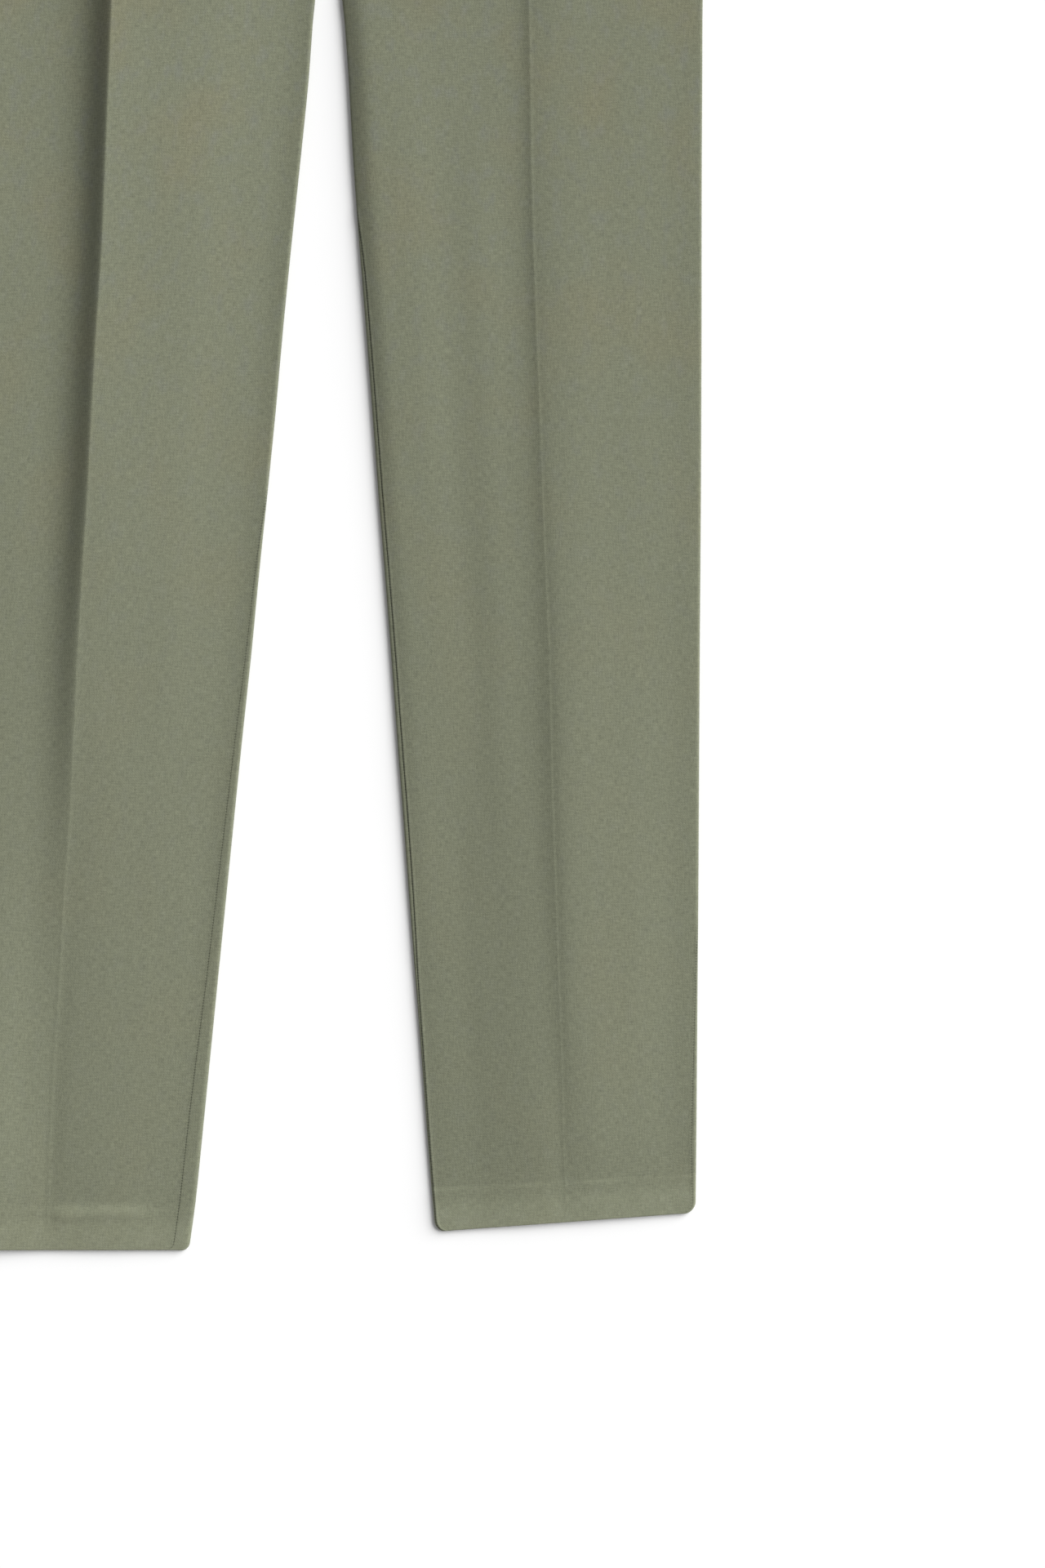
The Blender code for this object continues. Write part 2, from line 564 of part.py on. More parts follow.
def band_back(name, mat):
    """The back waistband, flat on the table with both ends folded up to the side seams."""
    radius = ROLL_WAIST + CLOTH / 2 - BAND / 2
    base = BAND / 2 + radius
    quarter = radius * math.pi / 2
    fold = [-SEAM / 2, -quarter * 0.3, -quarter * 0.55, -quarter * 0.8, -quarter]
    sections = []
    for share in (0.0, 0.5, 1.0):
        points, normals, places = [], [], []
        for end in (-1.0, 1.0):
            half = []
            for s in fold:
                into, up, normal = bend(radius, s)
                place = end * (WAIST_HALF - BAND / 2 - into)
                half.append(((place, base + up), (-end * normal[0], normal[1])))
            flat = [((end * x, BAND / 2), (0.0, -1.0)) for x in BAND_FLAT]
            half += flat
            if end < 0:
                half.append(((0.0, BAND / 2), (0.0, -1.0)))
            else:
                half.reverse()
            points += [p for p, _ in half]
            normals += [n for _, n in half]
        for x, _ in points:
            places.append(waist_line(x, True) + SEAM + BAND_HIGH * share)
        sections.append((places, points, normals))
    outside, inside = walls(sections, BAND, 1.0)
    return solid(name, outside, inside, mat)


def under_front(side, x, y, down):
    """A point `down` mm under the middle of the right front, running on past the centre."""
    return (x, y, side.top(0.2 if x > -0.2 else -x, y) - down)


def layer(side, name, xs, heights, down, bulge, mat):
    """A sheet under the fly: `bulge` gives its half thickness up and down at x."""
    outside, inside = [], []
    for y in heights:
        outside.append([])
        inside.append([])
        for x in xs:
            px, py, pz = under_front(side, x, y, down)
            high, low = bulge(x)
            outside[-1].append((px, py, pz + high))
            inside[-1].append((px, py, pz - low))
    return solid(name, outside, inside, mat)


def fly_heights(top, bottom, count):
    return list(np.linspace(top, bottom, count))


def slider(side, name, mat):
    """The zip's slider with its pull, as one bar whose width changes down its length."""
    y_top = FLY_TOP - 9.0
    low = side.top(0.2, y_top) - CLOTH / 2 - SEAM + CHAIN + SEAM
    rings = (
        (0.0, 2.2, 0.6), (1.5, 3.4, 0.8), (7.0, 3.0, 0.8), (9.5, 1.6, 0.7),
        (10.5, 1.6, 0.6), (24.0, 2.2, 0.6), (26.0, 1.4, 0.6),
    )
    upper, lower = [], []
    for down, half, high in rings:
        upper.append([(CHAIN_X + v * half, y_top - down, low + high) for v in (-1.0, -0.4, 0.4, 1.0)])
        lower.append([(CHAIN_X + v * half, y_top - down, low) for v in (-1.0, -0.4, 0.4, 1.0)])
    return solid(name, upper, lower, mat, False)


def button(name, left, mat):
    """A turned button: rings of (radius, height), with four thread holes cut through."""
    y = waist_line(BUTTON_X, False) + SEAM + BAND_HIGH * 0.55
    radius = ROLL_WAIST + CLOTH / 2 - BAND / 2
    low = BAND + 2 * radius + left.rise(BUTTON_X, SIDE_WAIST) + BAND_LIFT + SEAM + 0.15
    verts, faces = [], []

    def circle(cx, cy, r, h, count, offset):
        start = len(verts)
        for k in range(count):
            turn = 2 * math.pi * (k + offset) / count
            verts.append((cx + r * math.cos(turn), cy + r * math.sin(turn), low + h))
        return list(range(start, start + count))

    rings = [circle(BUTTON_X, y, r, h, BUTTON_AROUND, 0.0) for r, h in BUTTON_RINGS]
    for lower, upper in zip(rings, rings[1:]):
        for k in range(BUTTON_AROUND):
            n = (k + 1) % BUTTON_AROUND
            faces.append((lower[k], lower[n], upper[n], upper[k]))
    walls_of_holes = []
    for ring, h, under in ((rings[-1], BUTTON_RINGS[-1][1], False), (rings[0], 0.0, True)):
        holes = []
        for sx, sy in ((1, 1), (-1, 1), (-1, -1), (1, -1)):
            place = (BUTTON_X + sx * HOLE_SPREAD, y + sy * HOLE_SPREAD)
            holes.append(circle(*place, HOLE_RADIUS, h, HOLE_SIDES, 0.5))
        faces += holed_cap(ring, holes, len(verts), under)
        verts.append((BUTTON_X, y, low + h))
        walls_of_holes.append(holes)
    for upper, lower in zip(*walls_of_holes):
        for k in range(HOLE_SIDES):
            n = (k + 1) % HOLE_SIDES
            faces.append((upper[k], upper[n], lower[n], lower[k]))
    verts = np.array(verts) * MM
    verts[:, 0] += MIDDLE[0] * MM
    verts[:, 1] += MIDDLE[1] * MM
    return finish(name, verts, faces, mat)


def holed_cap(ring, holes, middle, under):
    """Faces between a ring of points and four holes, each hole in its own quarter."""
    faces = []
    quarter = BUTTON_AROUND // 4
    for q, hole in enumerate(holes):
        arc = [ring[(q * quarter + k) % BUTTON_AROUND] for k in range(quarter + 1)]
        first = 2 * q - 2
        faces += stitch(arc + [middle], [hole[(k + first) % HOLE_SIDES] for k in range(HOLE_SIDES)])
    if under:
        faces = [tuple(reversed(f)) for f in faces]
    return faces


def stitch(outer, inner):
    """Triangles between two closed loops that run the same way round."""
    faces = []
    m, n = len(outer), len(inner)
    i = j = 0
    while i < m or j < n:
        if j >= n or (i < m and (i + 1) * n <= (j + 1) * m):
            faces.append((outer[i % m], outer[(i + 1) % m], inner[j % n]))
            i += 1
        else:
            faces.append((outer[i % m], inner[(j + 1) % n], inner[j % n]))
            j += 1
    return faces


def build():
    for obj in list(bpy.data.objects):
        bpy.data.objects.remove(obj, do_unlink=True)
    cloth = {
        name: material(name + "_cloth", CLOTH_COLOUR, 0.9, 0.0)
        for name in ("front_left", "front_right", "back_left", "back_right")
    }
    left = Side(1.0, LEFT_LEG, LEFT_LAY, LEFT_SEAMS, LEFT_HEM, HEM_CORNERS[0])
    right = Side(-1.0, RIGHT_LEG, RIGHT_LAY, RIGHT_SEAMS, RIGHT_HEM, HEM_CORNERS[1])
    panel(left, False, "front_left", cloth["front_left"])
    panel(right, False, "front_right", cloth["front_right"])
    panel(left, True, "back_left", cloth["back_left"])
    panel(right, True, "back_right", cloth["back_right"])
    for name, side in (("waistband_front_left", left), ("waistband_front_right", right)):
        band_front(side, name, material(name + "_cloth", BAND_COLOUR, 0.9, 0.0))
    band_back("waistband_back", material("waistband_back_cloth", BAND_COLOUR, 0.9, 0.0))
    tape_down = CLOTH / 2 + SEAM + TAPE / 2
    shield_down = tape_down + TAPE / 2 + SEAM + SHIELD / 2
    layer(right, "fly_shield", (-13.0, -1.0, 9.0, 20.0, 30.0, 36.0),
          fly_heights(FLY_TOP, FLY_END, 7), shield_down,
          lambda x: (SHIELD / 2, SHIELD / 2), material("fly_shield_cloth", SHIELD_COLOUR, 0.9, 0.0))
    chain_edges = [CHAIN_X + side * (CHAIN_HALF + out) for side in (-1, 1) for out in (0.1, -0.1)]
    layer(right, "zip_tape", sorted(chain_edges + [-6.0, 0.0, 19.0]),
          fly_heights(FLY_TOP - 2.0, FLY_END + 4.0, 7), tape_down,
          lambda x: (TAPE / 2 + (CHAIN if abs(x - CHAIN_X) < CHAIN_HALF else 0.0), TAPE / 2),
          material("zip_tape_weave", TAPE_COLOUR, 0.8, 0.0))
    slider(right, "zip_slider", material("zip_slider_metal", METAL_COLOUR, 0.35, 1.0))
    button("waist_button", left, material("waist_button_plastic", BUTTON_COLOUR, 0.3, 0.0))


build()
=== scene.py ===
import math
import bpy
import numpy as np
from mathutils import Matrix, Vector


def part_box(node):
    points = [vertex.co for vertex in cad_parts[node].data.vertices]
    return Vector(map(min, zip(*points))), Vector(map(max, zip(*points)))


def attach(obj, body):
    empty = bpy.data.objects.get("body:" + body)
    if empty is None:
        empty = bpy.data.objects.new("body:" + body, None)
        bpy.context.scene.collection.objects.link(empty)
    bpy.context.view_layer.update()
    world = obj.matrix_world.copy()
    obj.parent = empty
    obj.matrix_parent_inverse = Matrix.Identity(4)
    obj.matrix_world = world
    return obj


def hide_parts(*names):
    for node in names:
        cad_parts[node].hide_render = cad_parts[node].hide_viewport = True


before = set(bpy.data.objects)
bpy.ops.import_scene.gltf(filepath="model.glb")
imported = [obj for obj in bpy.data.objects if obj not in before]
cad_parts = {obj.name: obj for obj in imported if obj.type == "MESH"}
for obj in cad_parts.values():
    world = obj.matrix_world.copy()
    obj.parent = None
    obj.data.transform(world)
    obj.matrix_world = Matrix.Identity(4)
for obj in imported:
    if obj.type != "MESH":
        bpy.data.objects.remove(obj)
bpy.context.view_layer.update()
print("frame loaded")

# Suit trousers laid flat, front up: +X is the wearer's left, +Y the waist, +Z up.
# Every length is in mm, counted from the centre line and the crotch, until it goes into a mesh.
layout = {
    "middle": (9.6, 291.35),  # centre line and crotch, seen from the part's origin
    "solidWall": 1.2,  # the solids' cloth
    "clothWall": 0.8,
    "bandWall": 2.0,
    "seamGap": 0.14,  # the dark line of a sewn seam
    "roll": (1.0, 1.7),  # radius of the folded side seen along it, on the leg and at the waist
    "rollFlat": 0.5,  # and seen from above
    "centreGap": 0.15,  # half the gap between the fronts
    "frontWaist": 206.0,
    "sideWaist": 212.0,
    "backWaist": 230.0,
    "waistHalf": 214.0,
    "waistBend": 120.0,  # from here up the rows bend to the waist seam
    "bandHigh": 38.0,
    "gapTop": -39.8,  # the photo's top edge: the legs' inner edges are measured below it
    "shutFrom": -6.0,  # from here up the legs close to the crotch
    "nearCentre": 0.2,  # the rise isn't read nearer to the centre line than this
    "sheetGap": 0.3,  # between the sheets of the fly
}
# The turned-up hem: edge is how far its upper edge spreads down and up, footWave, footTilt and footHigh
# are the pressed band's foot, and bandFade how far the band fades before, inside and beyond its ends.
hem = {"depth": 26.5, "step": 0.3, "edge": (1.6, 0.9), "bandTop": 31.5, "bandFoot": 20.6, "footWave": 0.8,
       "footTilt": 0.02, "footHigh": 1.2, "bandFade": (22.0, 12.0, 2.0), "waves": 0.05, "waveReach": 3.0,
       "tiltHigh": 90.0}
# painted highlight where the hem was pressed, standing in for the shine it takes: the line along the hem's
# upper edge, the band, and the turned-up hem
hemHighlightLook = {"lineWide": 0.9, "line": 2.2, "lineVary": 1.2, "bandDulls": 0.7, "band": 2.2, "bandTopFrom": 28.0,
        "hemReach": 14.0}
fly = {"lap": 2.5, "lapFrom": 34.0, "lift": 1.8, "liftUp": (14.0, 34.0), "liftAcross": (26.0, 60.0),
       "top": 203.0, "end": 54.0, "stitchFromEdge": 36.0}
# the hips' lift: comes in over up, further down away from the inner edge, and goes out over outwards
hips = {"lift": 4.2, "up": (-60.0, 50.0), "across": (4.0, 60.0), "outwards": (60.0, 205.0)}
# a pressed crease's ridge grows over grow, down the leg, and dies out from fadeFrom to pastHem
creaseEdge = {"grow": (450.0, 700.0), "fadeFrom": -800.0, "pastHem": 25.0}
# a sewn seam: the ridge beside it, its groove, its pucker, the back's groove, and its dark mark
sewn = {"ridge": 0.26, "ridgeAt": 0.5, "ridgeWide": 0.9, "groove": 0.2, "grooveWide": 0.3, "pucker": 0.04,
        "puckerMm": 9.0, "puckerReach": 5.0, "backGroove": 0.3, "backWide": 0.5, "backSunk": 0.12,
        "markWide": 0.4}
lipReach = 0.6  # how far the round lip of an edge goes in
fullTurn = 6.283

# Laid legs, heights from the waist down: edges and crease as distances from the centre line.
legColumns = ("y", "inner", "crease", "outer")
# How the fronts lie, a row for each height: rise over the folded side at places from the inner edge
# out. brim is the inner edge itself, roll is rollIn and swell swellIn inside it, middle half way to
# the crease, near just before it, foot and crest the crease's own foot and top, beyond just past it,
# outside half way to the outer edge, far just inside that, and rim the outer edge itself. On its -X
# side the crease falls over flank, sharp at its top where bow is 1 and round where it is 2. On its
# other side the cloth rises by bank beside it.
layColumns = ("y", "brim", "roll", "swell", "middle", "near", "foot", "crest", "beyond", "outside", "far",
              "rim", "flank", "bow", "bank")
seamColumns = ("y", "inseam", "outseam")
stations = {"rollIn": 12.0, "swellIn": 32.0, "nearCrease": 14.0, "beyondCrease": 16.0, "farIn": 14.0,
            "bankReach": 4.5}
leftLeg = {
    "sign": 1,
    "hem": (839.05, 826.65),  # how far the hem is below the crotch, inner and outer edge
    "hemCorner": 7.5,
    "rows": (
        (212, 0.15, 106, 214), (185, 0.15, 110, 226), (145, 0.15, 116, 241), (100, 0.15, 121, 249.5),
        (50, 0.15, 125.5, 248.4), (0, 0.15, 128.5, 244.4), (-39.8, 9.5, 130.4, 243),
        (-92.8, 13.3, 131.4, 242.8), (-145.8, 16.1, 132, 242.5), (-198.8, 20.1, 133.3, 242.4),
        (-251.8, 24.3, 135.2, 242.4), (-304.8, 28.4, 137.3, 242.2), (-357.8, 32.3, 139.1, 242),
        (-410.8, 36.6, 141.2, 241.6), (-463.8, 40.7, 143.6, 241.2), (-516.8, 44.5, 144.7, 240.9),
        (-569.8, 48.6, 146, 240.6), (-622.8, 52.5, 147.9, 240.3), (-675.8, 56.6, 149.7, 239.8),
        (-728.8, 60.8, 151.6, 239.4), (-781.8, 64.7, 152.6, 239), (-808, 66.8, 153.8, 238.8),
        (-832, 68.9, 154.8, 238.6),
    ),
    "lay": (
        (212, 0, 0.3, 0.5, 0.8, 0.8, 0.8, 1.8, 1.2, 0.9, 0.4, 0, 5, 1.2, 0.2),
        (120, 0, 0.4, 0.8, 0.9, 0.9, 0.9, 2.2, 1.8, 1.2, 0.5, 0.1, 5, 1.2, 0.3),
        (50, 0, 0.8, 1.6, 1.5, 1.1, 1, 2.5, 2.6, 1.7, 0.6, 0.4, 5, 1.2, 0.3),
        (0, 0.33, 3, 3.4, 2.3, 1.4, 1, 2.7, 3.2, 2.1, 0.6, 0.5, 5, 1.2, 0.3),
        (-40, 1.1, 5.3, 4.6, 2.9, 1.5, 1.1, 2.8, 3.5, 2.3, 0.6, 0.5, 5, 1.2, 0.3),
        (-120, 0.99, 5.2, 4.6, 2.8, 1.5, 1.1, 2.9, 3.7, 2.5, 0.6, 0.5, 5.2, 1.2, 0.5),
        (-200, 0.88, 4.8, 4.4, 2.6, 1.6, 1.2, 3.1, 4.1, 2.7, 0.6, 0.5, 5.5, 1.2, 0.7),
        (-300, 0.77, 3.9, 3.6, 2.2, 2, 1.6, 3.6, 4.7, 3, 0.8, 0.7, 6, 1.25, 1),
        (-400, 0.66, 2.6, 2.4, 1.8, 2.4, 2.1, 4.3, 5.5, 3.6, 1.3, 1.1, 7, 1.3, 1.4),
        (-500, 0.61, 2.1, 1.9, 1.9, 3.1, 2.8, 5.2, 6.3, 4.1, 1.6, 1.4, 7.6, 1.35, 1.6),
        (-600, 0.55, 1.5, 1.5, 2.4, 3.8, 3.5, 5.7, 6.7, 4.4, 1.6, 1.4, 7.5, 1.35, 1.7),
        (-700, 0.44, 1.2, 2, 3.1, 4.6, 4.3, 5.5, 6.3, 4.2, 1.4, 1.2, 6.5, 1.3, 1.4),
        (-780, 0.39, 1, 2.1, 3.1, 4.6, 3.9, 4.4, 5.1, 3.3, 1.2, 1, 5.5, 1.2, 0.8),
        (-815, 0.28, 0.7, 1.3, 1.9, 2.8, 2.2, 2.4, 3, 1.9, 0.7, 0.6, 5, 1.2, 0.3),
        (-850, 0.06, 0.1, 0.2, 0.4, 0.5, 0.4, 0.5, 0.6, 0.4, 0.1, 0.1, 4, 1.2, 0.1),
    ),
    "seams": (  # strips of the back that show beside the front
        (212, 0, 0), (-170, 0, 0), (-215, 2.6, 0), (-569.8, 3.1, 0), (-622.8, 2.9, 0), (-675.8, 1.7, 1.6),
        (-728.8, 1.3, 2.6), (-781.8, 1.1, 3.6), (-832, 1, 2.4),
    ),
    "edge": (0.2, 0.7, 0),  # the pressed crease's own ridge: height, reach, growth down the leg
    "seamDepth": (1, 0.35),  # how deep the inseam and the outseam are sunk
    "hemBand": (150, 166, 0.15),  # a pressed band above the hem: from x to x, height
    "turnedUpHighlight": 2.2,  # painted highlight on the turned-up hem's face, for the polish pressing gives it
    # soft ridges (+) and troughs (-): from (x, y) to (x, y), half width, height
    "folds": (
        (93.6, -80, 113.5, -620, 12, 0.7),
        (186, -120, 196, -520, 22, -0.12),
        (210, -420, 205, -800, 16, 0.1),
        (205, 150, 232, 60, 14, 0.5),
        (40, 10, 96, 42, 12, 0.35),
        (235.5, -776, 237, -801, 2.2, 0.5),
        (233, -640, 234.5, -770, 3, 0.12),
    ),
    "seed": 3.1,
}
rightLeg = {
    "sign": -1,
    "hem": (851, 851),
    "hemCorner": 4.6,
    "rows": (
        (212, 0.15, 110, 214), (185, 0.15, 115, 226), (145, 0.15, 122, 241), (100, 0.15, 128.5, 249.5),
        (50, 0.15, 134, 248.4), (0, 0.15, 137.3, 245.4), (-39.8, 9, 139.4, 244.9),
        (-92.8, 12.7, 141.5, 246.6), (-145.8, 18.2, 143.7, 248.2), (-198.8, 23.9, 145.8, 249.8),
        (-251.8, 29.2, 149.5, 251.2), (-304.8, 33.9, 152.7, 252.8), (-357.8, 39.2, 155.3, 254.4),
        (-410.8, 44.8, 159, 256), (-463.8, 49.8, 162.2, 257.6), (-516.8, 55.6, 164.9, 259.2),
        (-569.8, 61, 167.5, 260.8), (-622.8, 66.3, 171.7, 262.3), (-675.8, 71.6, 174.4, 263.9),
        (-728.8, 76.9, 178.1, 265.5), (-781.8, 82.2, 180.8, 267.1), (-820, 86, 181.9, 268.2),
        (-850, 90.3, 182.7, 268.7),
    ),
    "lay": (
        (212, 0, 0.3, 0.6, 1.2, 2.2, 0.8, 2.8, 0.8, 0.8, 0.5, 0, 8, 1.2, 0),
        (120, 0, 0.4, 1.1, 3, 6, 0.9, 7, 0.8, 1.2, 1.4, 0.2, 9.5, 1.2, 0),
        (50, 0, 0.5, 1.6, 5.4, 9.8, 1, 11.3, 0.8, 1.8, 2.8, 0.6, 8.9, 1.45, 0),
        (0, 0.3, 0.5, 2, 6.6, 12.1, 1, 13.9, 0.7, 2.2, 4, 0.72, 9.4, 1.45, 0),
        (-40, 1.2, 0.6, 2.2, 6.9, 12.8, 0.9, 14.6, 0.5, 2.3, 4.6, 0.8, 9.6, 1.45, 0),
        (-120, 1.35, 0.6, 2.2, 6.9, 12.5, 0.9, 14.3, 0.5, 2.5, 4.6, 0.8, 9.6, 1.45, 0),
        (-200, 1.35, 0.6, 2.2, 6.1, 11.1, 0.9, 12.8, 0.5, 2.7, 4.6, 0.8, 9.6, 1.45, 0),
        (-300, 1.35, 0.6, 2, 5.4, 9.7, 0.9, 11.1, 0.6, 2.4, 3.8, 0.72, 9.6, 1.45, 0),
        (-400, 1.35, 0.6, 1.9, 4.8, 8.5, 0.9, 9.5, 0.7, 1.9, 2.6, 0.64, 10.2, 1.5, 0),
        (-500, 1.27, 0.6, 1.8, 3.9, 6.1, 0.9, 6.8, 1.2, 1.8, 1.9, 0.64, 11.6, 1.55, 0),
        (-600, 1.2, 0.6, 1.7, 2.9, 3.9, 1.3, 3.8, 2.2, 3.4, 3, 0.8, 12.1, 1.55, 0),
        (-700, 1.05, 0.6, 1.6, 2.5, 3, 1.6, 2.3, 3, 6.2, 5.6, 0.96, 13, 1.5, 0),
        (-780, 0.9, 0.6, 1.4, 2.1, 2.4, 1.5, 1.7, 3.8, 7.8, 6.7, 1.04, 12, 1.5, 0),
        (-815, 0.6, 0.5, 1.1, 1.6, 1.8, 1.2, 1.3, 3, 6.2, 5.2, 0.8, 10, 1.5, 0),
        (-850, 0.22, 0.3, 0.5, 0.7, 0.8, 0.5, 0.6, 1.4, 2.8, 2.3, 0.4, 8, 1.5, 0),
    ),
    "seams": (
        (212, 0, 0), (-350, 0, 0), (-400, 2.6, 0), (-463.8, 3.7, 0), (-569.8, 5.6, 0), (-675.8, 7.6, 0),
        (-728.8, 9.2, 0), (-781.8, 10.2, 0), (-850, 10.6, 0),
    ),
    "edge": (0.14, 1.1, 1.3),
    "seamDepth": (0.2, 0.2),
    "hemBand": (124, 183, 0.9),
    "turnedUpHighlight": 1.9,
    "folds": (
        (222, -650, 232, -850, 30, 0.3),
        (205, 150, 232, 60, 14, 0.45),
        (40, 10, 96, 42, 12, 0.35),
    ),
    "seed": 7.7,
}


# 0 before start, 1 after end, 3t^2 - 2t^3 between
def smooth(x, start, end):
    t = np.clip((x - start) / (end - start), 0.0, 1.0)
    return t * t * (3.0 - 2.0 * t)


# a table's column at the heights y, averaged over 14 mm each way so that no row shows as a kink
def along(rows, names, name, y):
    table = np.array(rows)[::-1]
    ys, values = table[:, 0], table[:, names.index(name)]
    reach = np.clip(np.minimum(y - ys[0], ys[-1] - y), 0.0, 14.0)
    return 0.25 * (np.interp(y - reach, ys, values) + 2 * np.interp(y, ys, values)
                   + np.interp(y + reach, ys, values))


def legAt(side, name, y):
    return along(side["rows"], legColumns, name, y)


# inner fold edge: a quarter ellipse sqrt(1 - (1 - t)^2) under the crotch, then the table
def innerEdge(side, y):
    top = layout["gapTop"]
    t = np.clip(y / top, 0.0, 1.0)
    gap = layout["centreGap"]
    arch = gap + (legAt(side, "inner", np.array(top)) - gap) * np.sqrt(1.0 - (1.0 - t) ** 2)
    return np.where(y > top, arch, legAt(side, "inner", y))


# radius of the folded side: the leg's, going over to the waist's
def rollAt(y):
    leg, waist = layout["roll"]
    return leg + (waist - leg) * smooth(y, 60.0, layout["sideWaist"])


# a fold is height * exp(-(d / width)^2), d off its line, fading over the last fifth of its length
def handFolds(side, x, y):
    total = np.zeros(np.broadcast(x, y).shape)
    for x0, y0, x1, y1, width, height in side["folds"]:
        dx, dy = x1 - x0, y1 - y0
        length = math.hypot(dx, dy)
        t = ((x - x0) * dx + (y - y0) * dy) / length ** 2
        off = ((x - x0) * dy - (y - y0) * dx) / length
        total += height * np.exp(-(off / width) ** 2) * smooth(t, 0.0, 0.2) * smooth(1.0 - t, 0.0, 0.2)
    return total


# slow unevenness of pressed cloth: sines with wave lengths of 45 to 260 mm, longer down the leg
def unevenness(side, x, y):
    seed = side["seed"]
    total = np.zeros(np.broadcast(x, y).shape)
    for k, (acrossMm, downMm, high) in enumerate(((90, 260, 0.10), (62, 150, 0.06), (45, 95, 0.035),
                                                  (130, 70, 0.03))):
        turn = seed * (k + 1.3)
        total += high * np.sin(fullTurn * x / acrossMm + turn
                               + 0.8 * np.sin(fullTurn * y / downMm + turn))
    return total


# a curve through stations, on each stretch the cubic with the slope 2ab / (a + b) where the stretches'
# own slopes a and b agree in sign, and level where they don't
def through(x, places, heights):
    slopes = [(heights[k + 1] - heights[k]) / (places[k + 1] - places[k]) for k in range(len(places) - 1)]
    turns = [slopes[0]]
    for before, after in zip(slopes, slopes[1:]):
        same = before * after > 0.0
        turns.append(np.where(same, 2.0 * before * after / np.where(same, before + after, 1.0), 0.0))
    turns.append(slopes[-1])
    x = np.clip(x, places[0], places[-1])
    height = np.zeros(x.shape)
    for k in range(len(places) - 1):
        wide = places[k + 1] - places[k]
        t = np.clip((x - places[k]) / wide, 0.0, 1.0)
        start = heights[k] * (1.0 + 2.0 * t) + turns[k] * wide * t
        end = heights[k + 1] * (3.0 - 2.0 * t) - turns[k + 1] * wide * (1.0 - t)
        height = np.where(x >= places[k], start * (1.0 - t) ** 2 + end * t ** 2, height)
    return height


# how far the front's middle stands above the folded sides: the curve through the lay's stations, on
# the crease's steep side (crest - foot) * exp(-(d / flank)^bow) more and on the other one
# bank * exp(-d / bankReach) less, the pressed crease's ridge, the hips' lift, and soft folds
def rise(side, x, y):
    inner, crease, outer = innerEdge(side, y), legAt(side, "crease", y), legAt(side, "outer", y)
    lay = {name: along(side["lay"], layColumns, name, y) for name in layColumns[1:]}
    inward = x < crease
    steep = inward == (side["sign"] > 0)
    atCrease = [lay["foot"], lay["crest"] + lay["bank"]]
    if side["sign"] < 0:
        atCrease.reverse()
    inside = through(x, [inner, inner + stations["rollIn"], inner + stations["swellIn"],
                         (inner + crease) / 2, crease - stations["nearCrease"], crease],
                     [lay["brim"], lay["roll"], lay["swell"], lay["middle"], lay["near"], atCrease[0]])
    outside = through(x, [crease, crease + stations["beyondCrease"], (crease + outer) / 2,
                          outer - stations["farIn"], outer],
                      [atCrease[1], lay["beyond"], lay["outside"], lay["far"], lay["rim"]])
    high = np.where(inward, inside, outside)
    off = np.sqrt((x - crease) ** 2 + 0.25) - 0.5
    fall = (lay["crest"] - lay["foot"]) * np.exp(-(off / lay["flank"]) ** lay["bow"])
    high = high + np.where(steep, fall, -lay["bank"] * np.exp(-off / stations["bankReach"]))
    ridge, reach, lower = side["edge"]
    fade = smooth(y, -max(side["hem"]) - creaseEdge["pastHem"], creaseEdge["fadeFrom"])
    ridge = ridge * (1.0 + lower * smooth(-y, *creaseEdge["grow"])) * fade
    high = high + ridge * np.exp(-off / reach)
    hip = smooth(y, hips["up"][0] * smooth(x - inner, *hips["across"]), hips["up"][1])
    high = high + hips["lift"] * hip * (1.0 - smooth(x, *hips["outwards"]))
    soft = (handFolds(side, x, y) + unevenness(side, x, y)) * smooth(outer - x, 0.0, 12.0)
    return high + soft * smooth(np.abs(x - inner), 0.0, 12.0)


# extra lift of the left front where it laps over the fly
def flyLift(side, x, y):
    if side["sign"] < 0:
        return 0.0
    return fly["lift"] * smooth(y, *fly["liftUp"]) * (1.0 - smooth(x, *fly["liftAcross"]))


# how much of the side's pressed band shows at x, 0 to 1
def bandHere(side, x):
    start, end = side["hemBand"][:2]
    before, inside, beyond = hem["bandFade"]
    return smooth(x, start - before, start + inside) * (1.0 - smooth(x, end - inside, end + beyond))


# the turned-up hem stands out by step; the pressed band rises gently from its top and drops off at
# its foot, and short waves run along the hem's upper edge
def hemRise(side, x, above):
    down, up = hem["edge"]
    edge = 1.0 - smooth(above, hem["depth"] - down, hem["depth"] + up)
    foot = hem["bandFoot"] + hem["footWave"] * np.sin(x / 17.0) + hem["footTilt"] * (x - side["hemBand"][0])
    ramp = np.clip((hem["bandTop"] - above) / (hem["bandTop"] - foot), 0, 1)
    ramp = ramp * smooth(above, foot - hem["footHigh"], foot)
    wave = hem["waves"] * np.sin(x / 6.3 + 1.7 * np.sin(x / 19.0))
    wave = wave * np.exp(-((above - hem["depth"]) / hem["waveReach"]) ** 2)
    return hem["step"] * edge + side["hemBand"][2] * bandHere(side, x) * ramp + wave
